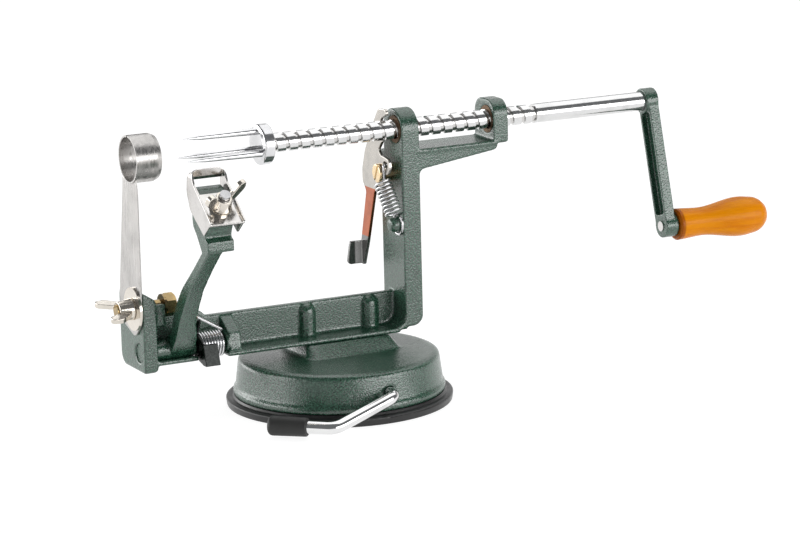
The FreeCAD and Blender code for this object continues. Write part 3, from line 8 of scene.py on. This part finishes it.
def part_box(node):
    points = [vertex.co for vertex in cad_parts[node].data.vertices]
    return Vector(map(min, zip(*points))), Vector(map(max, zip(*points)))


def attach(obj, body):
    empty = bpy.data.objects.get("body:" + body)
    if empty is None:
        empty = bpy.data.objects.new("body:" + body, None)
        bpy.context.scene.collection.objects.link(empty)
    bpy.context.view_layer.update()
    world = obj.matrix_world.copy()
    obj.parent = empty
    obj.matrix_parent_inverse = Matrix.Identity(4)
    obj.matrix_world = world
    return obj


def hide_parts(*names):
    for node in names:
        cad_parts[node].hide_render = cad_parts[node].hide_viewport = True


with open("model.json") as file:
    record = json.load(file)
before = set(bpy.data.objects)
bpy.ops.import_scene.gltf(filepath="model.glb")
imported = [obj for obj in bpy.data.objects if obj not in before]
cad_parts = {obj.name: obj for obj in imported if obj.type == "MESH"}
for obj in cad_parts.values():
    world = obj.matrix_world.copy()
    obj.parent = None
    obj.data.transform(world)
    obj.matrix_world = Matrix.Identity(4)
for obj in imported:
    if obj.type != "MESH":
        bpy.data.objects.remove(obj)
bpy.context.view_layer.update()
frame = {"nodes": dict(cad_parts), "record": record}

MM = 0.001

# Camera, solved from the photograph: lens and sensor in mm, angles in degrees, offsets in metres
LENS = 161.6
SENSOR_WIDTH = 36
CAMERA_AZIMUTH = 26.19
CAMERA_ELEVATION = 12.52
CAMERA_ROLL = -1.45
CAMERA_OFFSET = (-0.0291, -0.0640, 1.7377)
CAMERA_REACH = 60

# Voxel sizes of the cast and forged pieces
FRAME_VOXEL = 0.45 * MM
BASE_VOXEL = 0.6 * MM
SMALL_VOXEL = 0.3 * MM
NUT_VOXEL = 0.22 * MM
PLATE_VOXEL = 0.18 * MM

# Shares of a softened mesh's faces that are kept
ALL_FACES = 1.0
HALF_FACES = 0.5
PLATE_FACES = 0.4

# Softened pieces: node, voxel size, rounds of smoothing, share of the faces
SOFTENED = [
    ("frame_casting", FRAME_VOXEL, 12, HALF_FACES),
    ("base_casting", BASE_VOXEL, 9, HALF_FACES),
    ("peeling_arm", SMALL_VOXEL, 9, HALF_FACES),
    ("crank_arm", SMALL_VOXEL, 8, HALF_FACES),
    ("lever_tip", SMALL_VOXEL, 14, HALF_FACES),
    ("blade_wing_nut", NUT_VOXEL, 9, ALL_FACES),
    ("slicer_wing_nut", NUT_VOXEL, 9, ALL_FACES),
    ("pawl_lever", PLATE_VOXEL, 3, PLATE_FACES),
    ("peeling_blade", PLATE_VOXEL, 3, PLATE_FACES),
    ("arm_catch", PLATE_VOXEL, 3, PLATE_FACES),
    ("pawl_screw", PLATE_VOXEL, 3, ALL_FACES),
]
SLICER_ROUNDS = 2

# The fillet cast into the corner of beam and column: corner (x, z), radius, front and back
CORNER = (36.1 * MM, 31.1 * MM)
CORNER_RADIUS = 6.5 * MM
CORNER_SINK = 1.0 * MM
CORNER_STEPS = 12
CORNER_DEPTH = (-1.2 * MM, 12.5 * MM)

# Heights where the pawl's lower arm changes tone, and how sharply it does; between them a warm reflection is
# painted
PAWL_REFLECTION_TOP = 97.0 * MM
PAWL_REFLECTION_LOW = 71.9 * MM
PAWL_TONE_STEP = 0.3 * MM

# The slicing strip's ground edge: crease and edge as (height, depth) pairs, and how deep it is ground
CREASE = ((71.1 * MM, 2.0 * MM), (101.8 * MM, 9.8 * MM))
CUTTING_EDGE = ((72.5 * MM, -5.5 * MM), (104.1 * MM, -4.0 * MM))
GROUND_DEPTH = 0.75 * MM
GROUND_START = (58 * MM, 70 * MM)

# The grip's rounded end: where it swells and by how much, and its dark collar
GRIP_SWELL = (224.0 * MM, 230.5 * MM, 236.0 * MM)
GRIP_SWELL_SHARE = 0.085
GRIP_COLLAR = 3.0 * MM
COLLAR_STEP = 1.2 * MM

# The shaft's radii between which the tone goes from groove to land; the grooves are painted darker as shade
GROOVE_TONE = 3.9 * MM
LAND_TONE = 4.7 * MM

# Stage
AIM = (0.02, 0.0, 0.07)
TOP_SOFTBOX = (0.65, 0.45, 1.6)
FLOOR_HALF = 15.0
FLOOR_DROP = 0.1 * MM
FLOOR_GLOW = 0.88
FLOOR_SEEN = (0.26, 0.26, 0.26, 1)
FLOOR_PAINT = (0.82, 0.82, 0.82, 1)
WHITE = (1, 1, 1, 1)
ROOM_FRONT = (0.16, 0.165, 0.17, 1)
ROOM_BACK = (0.95, 0.95, 0.95, 1)

# Colours of enamel, shaft, pawl, wood and bronze
ENAMEL_DARK = (0.009, 0.046, 0.025, 1)
# lighter enamel for the grain's speckles: partly the enamel's own fleck, partly painted glints
ENAMEL_FLECK_AND_GLINT = (0.039, 0.116, 0.073, 1)
ENAMEL_GREY = (0.044, 0.088, 0.066, 1)
LAND_BRIGHT = (0.72, 0.72, 0.72, 1)
LAND_DULL = (0.63, 0.63, 0.63, 1)
# darker steel for the grooves is painted shade
GROOVE_SHADED_STEEL = (0.62, 0.61, 0.60, 1)
PLATE_BRIGHT = (0.54, 0.51, 0.47, 1)
PLATE_DULL = (0.46, 0.44, 0.41, 1)
# colours of a warm reflection painted on the pawl's lower arm
WARM_REFLECTION_BRIGHT = (0.50, 0.155, 0.080, 1)
WARM_REFLECTION_DULL = (0.40, 0.125, 0.070, 1)
TAB_BRIGHT = (0.24, 0.24, 0.235, 1)
TAB_DULL = (0.19, 0.19, 0.185, 1)
WOOD_LIGHT = (0.84, 0.285, 0.002, 1)
WOOD_DARK = (0.74, 0.215, 0.002, 1)
WOOD_RING = (0.58, 0.120, 0.001, 1)
WOOD_PORE = (0.48, 0.100, 0.001, 1)
WOOD_COLLAR = (0.30, 0.060, 0.004, 1)
BRONZE_LIGHT = (0.17, 0.100, 0.050, 1)
BRONZE_DARK = (0.07, 0.042, 0.024, 1)


# Node trees
def add(tree, kind, settings=None, **inputs):
    node = tree.nodes.new(kind)
    for key, value in (settings or {}).items():
        setattr(node, key, value)
    for key, value in inputs.items():
        put(tree, node.inputs[key.replace("_", " ")], value)
    return node


def put(tree, socket, value):
    if isinstance(value, bpy.types.NodeSocket):
        tree.links.new(value, socket)
    else:
        socket.default_value = value


def maths(tree, operation, first, second):
    node = tree.nodes.new("ShaderNodeMath")
    node.operation = operation
    put(tree, node.inputs[0], first)
    put(tree, node.inputs[1], second)
    return node.outputs[0]


def mix(tree, share, first, second):
    node = tree.nodes.new("ShaderNodeMix")
    node.data_type = "RGBA"
    factor, colour_a, colour_b = node.inputs[0], node.inputs[6], node.inputs[7]
    put(tree, factor, share)
    put(tree, colour_a, first)
    put(tree, colour_b, second)
    return node.outputs[2]


def spread(tree, value, low, high, new_low=0.0, new_high=1.0):
    node = add(tree, "ShaderNodeMapRange", {"interpolation_type": "SMOOTHSTEP"}, Value=value)
    node.inputs["From Min"].default_value = low
    node.inputs["From Max"].default_value = high
    node.inputs["To Min"].default_value = new_low
    node.inputs["To Max"].default_value = new_high
    return node.outputs[0]


def noise(tree, place, scale, detail=3.0, roughness=0.55):
    return add(tree, "ShaderNodeTexNoise", Vector=place, Scale=scale, Detail=detail,
               Roughness=roughness).outputs["Fac"]


def stretched(tree, place, scale):
    return add(tree, "ShaderNodeMapping", Vector=place, Scale=scale).outputs[0]


def bump(tree, height, strength, distance, normal=None):
    node = add(tree, "ShaderNodeBump", Height=height, Strength=strength, Distance=distance)
    if normal is not None:
        tree.links.new(normal, node.inputs["Normal"])
    return node.outputs[0]


def emptied(tree, output_kind):
    tree.nodes.clear()
    return tree.nodes.new(output_kind)


def material(name):
    made = bpy.data.materials.new(name)
    made.use_nodes = True
    tree = made.node_tree
    output = emptied(tree, "ShaderNodeOutputMaterial")
    surface = tree.nodes.new("ShaderNodeBsdfPrincipled")
    tree.links.new(surface.outputs[0], output.inputs[0])
    place = tree.nodes.new("ShaderNodeTexCoord").outputs["Object"]
    return made, tree, surface, place


# Materials
def enamel():
    made, tree, surface, place = material("green_enamel")
    grain = noise(tree, place, scale=1300, detail=2.0, roughness=0.5)
    cloud = noise(tree, place, scale=40, detail=4.0)
    pits = noise(tree, place, scale=1500, detail=2.0)
    # the grain's lighter speckles are partly the enamel's own fleck and partly painted glints
    tone = mix(tree, spread(tree, grain, low=0.42, high=0.63), ENAMEL_DARK, ENAMEL_FLECK_AND_GLINT)
    tone = mix(tree, spread(tree, cloud, low=0.45, high=0.75, new_high=0.25), tone, ENAMEL_GREY)
    put(tree, surface.inputs["Base Color"], tone)
    rough = spread(tree, pits, low=0.3, high=0.7, new_low=0.10, new_high=0.18)
    put(tree, surface.inputs["Roughness"], rough)
    surface.inputs["IOR"].default_value = 1.85
    normal = bump(tree, grain, strength=1.0, distance=0.22 * MM)
    normal = bump(tree, pits, strength=0.4, distance=0.05 * MM, normal=normal)
    tree.links.new(normal, surface.inputs["Normal"])
    return made


def metal(name, colour, roughness, grain=(1, 1, 1), scratch=0.04, tint=None):
    made, tree, surface, place = material(name)
    surface.inputs["Metallic"].default_value = 1.0
    fine = noise(tree, stretched(tree, place, grain), scale=900)
    cloud = noise(tree, place, scale=70)
    other = tint or tuple(c * 0.82 for c in colour)
    tone = mix(tree, spread(tree, cloud, low=0.4, high=0.75), (*colour, 1), (*other, 1))
    put(tree, surface.inputs["Base Color"], tone)
    rough = spread(tree, fine, low=0.3, high=0.7, new_low=roughness * 0.75, new_high=roughness * 1.35)
    put(tree, surface.inputs["Roughness"], rough)
    tree.links.new(bump(tree, fine, strength=scratch, distance=0.05 * MM), surface.inputs["Normal"])
    return made


def shaft_steel(middle):
    made, tree, surface, place = material("shaft_steel")
    surface.inputs["Metallic"].default_value = 1.0
    centred = add(tree, "ShaderNodeVectorMath", {"operation": "SUBTRACT"})
    put(tree, centred.inputs[0], place)
    put(tree, centred.inputs[1], middle)
    parts = add(tree, "ShaderNodeSeparateXYZ", Vector=centred.outputs[0])
    across = add(tree, "ShaderNodeCombineXYZ", Y=parts.outputs["Y"], Z=parts.outputs["Z"])
    radius = add(tree, "ShaderNodeVectorMath", {"operation": "LENGTH"})
    tree.links.new(across.outputs[0], radius.inputs[0])
    depth = spread(tree, radius.outputs["Value"], low=GROOVE_TONE, high=LAND_TONE)
    turned = noise(tree, stretched(tree, place, (1.0, 0.06, 0.06)), scale=1500, detail=2.0)
    smudge = noise(tree, place, scale=120)
    bright = mix(tree, spread(tree, smudge, low=0.45, high=0.8), LAND_BRIGHT, LAND_DULL)
    # the grooves get a darker colour as painted shade
    put(tree, surface.inputs["Base Color"], mix(tree, depth, GROOVE_SHADED_STEEL, bright))
    rough = spread(tree, turned, low=0.3, high=0.7, new_low=0.10, new_high=0.20)
    groove_rough = spread(tree, depth, low=0, high=1, new_low=0.06, new_high=0.0)
    put(tree, surface.inputs["Roughness"], maths(tree, "ADD", rough, groove_rough))
    tree.links.new(bump(tree, turned, strength=0.05, distance=0.05 * MM), surface.inputs["Normal"])
    return made


def pawl_plating():
    made, tree, surface, place = material("pawl_plating")
    surface.inputs["Metallic"].default_value = 1.0
    height = add(tree, "ShaderNodeSeparateXYZ", Vector=place).outputs["Z"]
    fine = noise(tree, place, scale=900)
    cloud = noise(tree, place, scale=130)
    plain = mix(tree, spread(tree, cloud, low=0.4, high=0.75), PLATE_BRIGHT, PLATE_DULL)
    # a warm reflection painted on the lower arm, between the two heights
    warm_reflection = mix(tree, spread(tree, cloud, low=0.35, high=0.7), WARM_REFLECTION_BRIGHT, WARM_REFLECTION_DULL)
    tab = mix(tree, spread(tree, cloud, low=0.4, high=0.75), TAB_BRIGHT, TAB_DULL)
    above = spread(tree, height, low=PAWL_REFLECTION_TOP - PAWL_TONE_STEP, high=PAWL_REFLECTION_TOP)
    tone = mix(tree, above, warm_reflection, plain)
    above = spread(tree, height, low=PAWL_REFLECTION_LOW - PAWL_TONE_STEP, high=PAWL_REFLECTION_LOW)
    tone = mix(tree, above, tab, tone)
    put(tree, surface.inputs["Base Color"], tone)
    rough = spread(tree, fine, low=0.3, high=0.7, new_low=0.13, new_high=0.24)
    put(tree, surface.inputs["Roughness"], rough)
    tree.links.new(bump(tree, fine, strength=0.05, distance=0.05 * MM), surface.inputs["Normal"])
    return made


def rubber(name, colour, roughness):
    made, tree, surface, place = material(name)
    fine = noise(tree, place, scale=1800)
    dust = noise(tree, place, scale=90, detail=5.0, roughness=0.65)
    light = tuple(c * 2.2 + 0.008 for c in colour)
    tone = mix(tree, spread(tree, dust, low=0.5, high=0.8, new_high=0.6), (*colour, 1), (*light, 1))
    put(tree, surface.inputs["Base Color"], tone)
    rough = spread(tree, dust, low=0.3, high=0.7, new_low=roughness * 0.85, new_high=roughness * 1.2)
    put(tree, surface.inputs["Roughness"], rough)
    tree.links.new(bump(tree, fine, strength=0.25, distance=0.06 * MM), surface.inputs["Normal"])
    return made


def varnished_wood(collar_end):
    made, tree, surface, place = material("varnished_wood")
    along = noise(tree, stretched(tree, place, (0.12, 1.0, 1.0)), scale=260, detail=4.0, roughness=0.6)
    pores = noise(tree, stretched(tree, place, (0.08, 1.0, 1.0)), scale=1500, detail=2.0)
    rings = add(tree, "ShaderNodeTexWave", {"wave_type": "BANDS", "bands_direction": "Z"},
                Vector=stretched(tree, place, (0.25, 1.0, 1.0)), Scale=95, Distortion=6.0, Detail=2.0)
    tone = mix(tree, spread(tree, along, low=0.35, high=0.7), WOOD_LIGHT, WOOD_DARK)
    ringed = spread(tree, rings.outputs["Fac"], low=0.55, high=1.0, new_high=0.10)
    tone = mix(tree, ringed, tone, WOOD_RING)
    tone = mix(tree, spread(tree, pores, low=0.60, high=0.74, new_high=0.14), tone, WOOD_PORE)
    length = add(tree, "ShaderNodeSeparateXYZ", Vector=place).outputs["X"]
    collar = spread(tree, length, low=collar_end - COLLAR_STEP, high=collar_end, new_low=0.8, new_high=0.0)
    tone = mix(tree, collar, tone, WOOD_COLLAR)
    put(tree, surface.inputs["Base Color"], tone)
    rough = spread(tree, pores, low=0.3, high=0.7, new_low=0.20, new_high=0.32)
    put(tree, surface.inputs["Roughness"], rough)
    surface.inputs["Specular IOR Level"].default_value = 0.12
    tree.links.new(bump(tree, pores, strength=0.08, distance=0.1 * MM), surface.inputs["Normal"])
    return made


def porous_bronze():
    made, tree, surface, place = material("porous_bronze")
    pores = noise(tree, place, scale=1400)
    tone = mix(tree, spread(tree, pores, low=0.4, high=0.7), BRONZE_LIGHT, BRONZE_DARK)
    put(tree, surface.inputs["Base Color"], tone)
    surface.inputs["Metallic"].default_value = 0.7
    rough = spread(tree, pores, low=0.3, high=0.7, new_low=0.35, new_high=0.6)
    put(tree, surface.inputs["Roughness"], rough)
    tree.links.new(bump(tree, pores, strength=0.3, distance=0.06 * MM), surface.inputs["Normal"])
    return made


shaft_low, shaft_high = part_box("feed_shaft")
grip_low, grip_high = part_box("handle_grip")

# One material for each slot of the record
MATERIALS = {
    "enamel": enamel(),
    "rubber": rubber("disc_rubber", (0.016, 0.016, 0.016), roughness=0.34),
    "tip_rubber": rubber("tip_rubber", (0.020, 0.020, 0.019), roughness=0.55),
    "cam_steel": metal("cam_steel", (0.45, 0.45, 0.46), roughness=0.35),
    "chrome": metal("bright_chrome", (0.68, 0.66, 0.64), roughness=0.14, scratch=0.03),
    "screw_steel": metal("screw_steel", (0.52, 0.52, 0.53), roughness=0.28),
    "golden_zinc": metal("golden_zinc", (0.50, 0.38, 0.22), roughness=0.18, tint=(0.34, 0.29, 0.20)),
    "blade_steel": metal("ground_steel", (0.50, 0.485, 0.47), roughness=0.30, grain=(1.0, 1.0, 0.06),
                         scratch=0.08),
    "nickel": metal("nickel_plate", (0.74, 0.69, 0.62), roughness=0.16),
    "shaft_steel": shaft_steel((shaft_low + shaft_high) / 2),
    "fork_steel": metal("fork_steel", (0.76, 0.76, 0.77), roughness=0.14),
    "bronze": porous_bronze(),
    "rivet_steel": metal("rivet_steel", (0.70, 0.68, 0.67), roughness=0.20),
    "wood": varnished_wood(grip_low.x + GRIP_COLLAR),
    "spring_steel": metal("spring_wire", (0.66, 0.66, 0.67), roughness=0.16),
    "catch_steel": metal("catch_steel", (0.030, 0.032, 0.031), roughness=0.26),
}

# Nodes with a finish of their own within their slot
CLAMP_GOLD = metal("aged_zinc", (0.46, 0.33, 0.15), roughness=0.12, tint=(0.22, 0.17, 0.10))
OWN = {
    "pawl_lever": pawl_plating(),
    "clamp_bolt": CLAMP_GOLD,
    "clamp_washer": CLAMP_GOLD,
    "pawl_screw": metal("bright_zinc", (0.86, 0.66, 0.40), roughness=0.20, tint=(0.66, 0.55, 0.42)),
    "clamp_lever": metal("lever_chrome", (0.80, 0.80, 0.80), roughness=0.08, scratch=0.02),
}

slot_of = {part["node"]: part["material_slot"] for part in frame["record"]["subparts"]}
body_of = {}
for body, members in frame["record"]["behaviour"]["bodies"].items():
    for member in members:
        body_of[member] = body


def finish_of(node):
    return OWN.get(node, MATERIALS[slot_of[node]])


for node, thing in frame["nodes"].items():
    thing.data.materials.clear()
    thing.data.materials.append(finish_of(node))


# Pieces that replace a node: a copy of its own mesh, reshaped
def copied(node, ending):
    source = frame["nodes"][node]
    copy = bpy.data.objects.new(node + ending, source.data.copy())
    bpy.context.scene.collection.objects.link(copy)
    return copy


def settled(copy, node):
    graph = bpy.context.evaluated_depsgraph_get()
    mesh = bpy.data.meshes.new_from_object(copy.evaluated_get(graph))
    copy.modifiers.clear()
    copy.data = mesh
    mesh.materials.clear()
    mesh.materials.append(finish_of(node))
    mesh.shade_smooth()
    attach(copy, body_of[node])
    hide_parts(node)


# Cast and forged pieces: the node's own shape with its edges and corners softened
def softened(node, voxel, rounds, share=ALL_FACES, added=None):
    copy = copied(node, "_cast")
    if added:
        join(copy.data, added)
    remesh = copy.modifiers.new("even", "REMESH")
    remesh.mode = "VOXEL"
    remesh.voxel_size = voxel
    smooth = copy.modifiers.new("soft", "SMOOTH")
    smooth.factor = 0.5
    smooth.iterations = rounds
    if share < ALL_FACES:
        thin = copy.modifiers.new("thin", "DECIMATE")
        thin.ratio = share
    settled(copy, node)
    return copy


def join(mesh, added):
    both = bmesh.new()
    both.from_mesh(mesh)
    points, faces = added
    made = [both.verts.new(point) for point in points]
    for face in faces:
        both.faces.new([made[index] for index in face])
    both.to_mesh(mesh)
    both.free()


def corner_fillet():
    x, z = CORNER
    outline = [(x + CORNER_SINK, z - CORNER_SINK), (x + CORNER_SINK, z + CORNER_RADIUS)]
    for step in range(CORNER_STEPS + 1):
        angle = math.pi / 2 * step / CORNER_STEPS
        outline.append((x - CORNER_RADIUS * (1 - math.cos(angle)), z + CORNER_RADIUS * (1 - math.sin(angle))))
    outline.append((x - CORNER_RADIUS, z - CORNER_SINK))
    count = len(outline)
    points = [(px, y, pz) for y in CORNER_DEPTH for px, pz in outline]
    faces = [list(range(count)), list(range(2 * count - 1, count - 1, -1))]
    for first in range(count):
        second = (first + 1) % count
        faces.append([first, count + first, count + second, second])
    return points, faces


for node, voxel, rounds, share in SOFTENED:
    softened(node, voxel, rounds, share, corner_fillet() if node == "frame_casting" else None)


# The slicing strip's ground edge and the grip's round end
def between(pair, height):
    (z0, y0), (z1, y1) = pair
    return y0 + (height - z0) / (z1 - z0) * (y1 - y0)


def smooth_step(value, low, high):
    share = min(max((value - low) / (high - low), 0.0), 1.0)
    return share * share * (3 - 2 * share)


def ground_slicer():
    copy = softened("slicer_blade", PLATE_VOXEL, SLICER_ROUNDS)
    front = min(v.co.x for v in copy.data.vertices)
    back = max(v.co.x for v in copy.data.vertices)
    for v in copy.data.vertices:
        crease = between(CREASE, v.co.z)
        edge = between(CUTTING_EDGE, v.co.z)
        share = min(max((crease - v.co.y) / (crease - edge), 0.0), 1.0) if crease > edge else 0.0
        share *= smooth_step(v.co.z, *GROUND_START)
        if v.co.x < back - GROUND_DEPTH / 2:
            v.co.x = max(v.co.x, front + GROUND_DEPTH * share)


def blunt_grip():
    copy = copied("handle_grip", "_turned")
    y = (grip_low.y + grip_high.y) / 2
    z = (grip_low.z + grip_high.z) / 2
    start, top, end = GRIP_SWELL
    for v in copy.data.vertices:
        swell = smooth_step(v.co.x, start, top) * (1 - smooth_step(v.co.x, top, end))
        share = 1 + GRIP_SWELL_SHARE * swell
        v.co.y = y + (v.co.y - y) * share
        v.co.z = z + (v.co.z - z) * share
    settled(copy, "handle_grip")


ground_slicer()
blunt_grip()


# Stage
def panel(name, centre, width, height, radiance):
    light = bpy.data.lights.new(name, "AREA")
    light.shape = "RECTANGLE"
    light.size = width
    light.size_y = height
    light.energy = radiance * math.pi * width * height
    thing = bpy.data.objects.new(name, light)
    bpy.context.scene.collection.objects.link(thing)
    thing.location = centre
    thing.rotation_euler = (Vector(AIM) - Vector(centre)).to_track_quat("-Z", "Y").to_euler()
    thing.visible_camera = False


def round_table(azimuth, elevation, distance):
    a = math.radians(azimuth)
    e = math.radians(elevation)
    return Vector((math.sin(a) * math.cos(e), -math.cos(a) * math.cos(e), math.sin(e))) * distance


def lights():
    right = round_table(azimuth=30, elevation=7, distance=1.5)
    left = round_table(azimuth=-122, elevation=10, distance=1.5)
    panel("right_softbox", right, width=1.8, height=0.85, radiance=4.0)
    panel("left_softbox", left, width=2.8, height=1.0, radiance=3.0)
    panel("top_softbox", TOP_SOFTBOX, width=2.2, height=2.0, radiance=1.25)


# The floor is plain paint for the light and a bright, still shadowed sheet for the eye
def floor_paint():
    made = bpy.data.materials.new("pale_floor")
    made.use_nodes = True
    tree = made.node_tree
    output = emptied(tree, "ShaderNodeOutputMaterial")
    path = tree.nodes.new("ShaderNodeLightPath")
    seen = maths(tree, "MAXIMUM", path.outputs["Is Camera Ray"], path.outputs["Is Glossy Ray"])
    seen = maths(tree, "MAXIMUM", seen, path.outputs["Is Transmission Ray"])
    matt = add(tree, "ShaderNodeBsdfDiffuse", Color=FLOOR_PAINT)
    shaded = add(tree, "ShaderNodeBsdfDiffuse", Color=FLOOR_SEEN)
    glow = add(tree, "ShaderNodeEmission", Color=WHITE, Strength=FLOOR_GLOW)
    both = tree.nodes.new("ShaderNodeAddShader")
    tree.links.new(shaded.outputs[0], both.inputs[0])
    tree.links.new(glow.outputs[0], both.inputs[1])
    chosen = tree.nodes.new("ShaderNodeMixShader")
    tree.links.new(seen, chosen.inputs[0])
    tree.links.new(matt.outputs[0], chosen.inputs[1])
    tree.links.new(both.outputs[0], chosen.inputs[2])
    tree.links.new(chosen.outputs[0], output.inputs[0])
    return made


def floor():
    mesh = bpy.data.meshes.new("floor")
    corners = [(-1, -1), (1, -1), (1, 1), (-1, 1)]
    mesh.from_pydata([(x * FLOOR_HALF, y * FLOOR_HALF, -FLOOR_DROP) for x, y in corners], [], [(0, 1, 2, 3)])
    mesh.materials.append(floor_paint())
    thing = bpy.data.objects.new("floor", mesh)
    bpy.context.scene.collection.objects.link(thing)


def room():
    world = bpy.data.worlds.new("room")
    bpy.context.scene.world = world
    world.use_nodes = True
    tree = world.node_tree
    output = emptied(tree, "ShaderNodeOutputWorld")
    path = tree.nodes.new("ShaderNodeLightPath")
    towards = tree.nodes.new("ShaderNodeTexCoord").outputs["Generated"]
    parts = add(tree, "ShaderNodeSeparateXYZ", Vector=towards)
    back = spread(tree, parts.outputs["Y"], low=-0.1, high=0.5)
    low_part = spread(tree, parts.outputs["Z"], low=0.2, high=0.5, new_low=1.0, new_high=0.0)
    light = mix(tree, maths(tree, "MULTIPLY", back, low_part), ROOM_FRONT, ROOM_BACK)
    colour = mix(tree, path.outputs["Is Camera Ray"], light, WHITE)
    background = add(tree, "ShaderNodeBackground", Color=colour, Strength=1.0)
    tree.links.new(background.outputs[0], output.inputs[0])


def camera():
    azimuth = math.radians(CAMERA_AZIMUTH)
    elevation = math.radians(CAMERA_ELEVATION)
    roll = math.radians(CAMERA_ROLL)
    forward = Vector((math.sin(azimuth) * math.cos(elevation), math.cos(azimuth) * math.cos(elevation),
                      -math.sin(elevation)))
    level = Vector((math.cos(azimuth), -math.sin(azimuth), 0))
    upright = level.cross(forward)
    right = level * math.cos(roll) + upright * math.sin(roll)
    up = upright * math.cos(roll) - level * math.sin(roll)
    x, y, distance = CAMERA_OFFSET
    place = -(right * x + up * y + forward * distance)
    data = bpy.data.cameras.new("camera")
    data.lens = LENS
    data.sensor_width = SENSOR_WIDTH
    data.clip_end = CAMERA_REACH
    thing = bpy.data.objects.new("camera", data)
    bpy.context.scene.collection.objects.link(thing)
    turn = Matrix((right, up, -forward)).transposed().to_4x4()
    thing.matrix_world = Matrix.Translation(place) @ turn
    bpy.context.scene.camera = thing


lights()
floor()
room()
camera()
bpy.context.scene.view_settings.view_transform = "Standard"
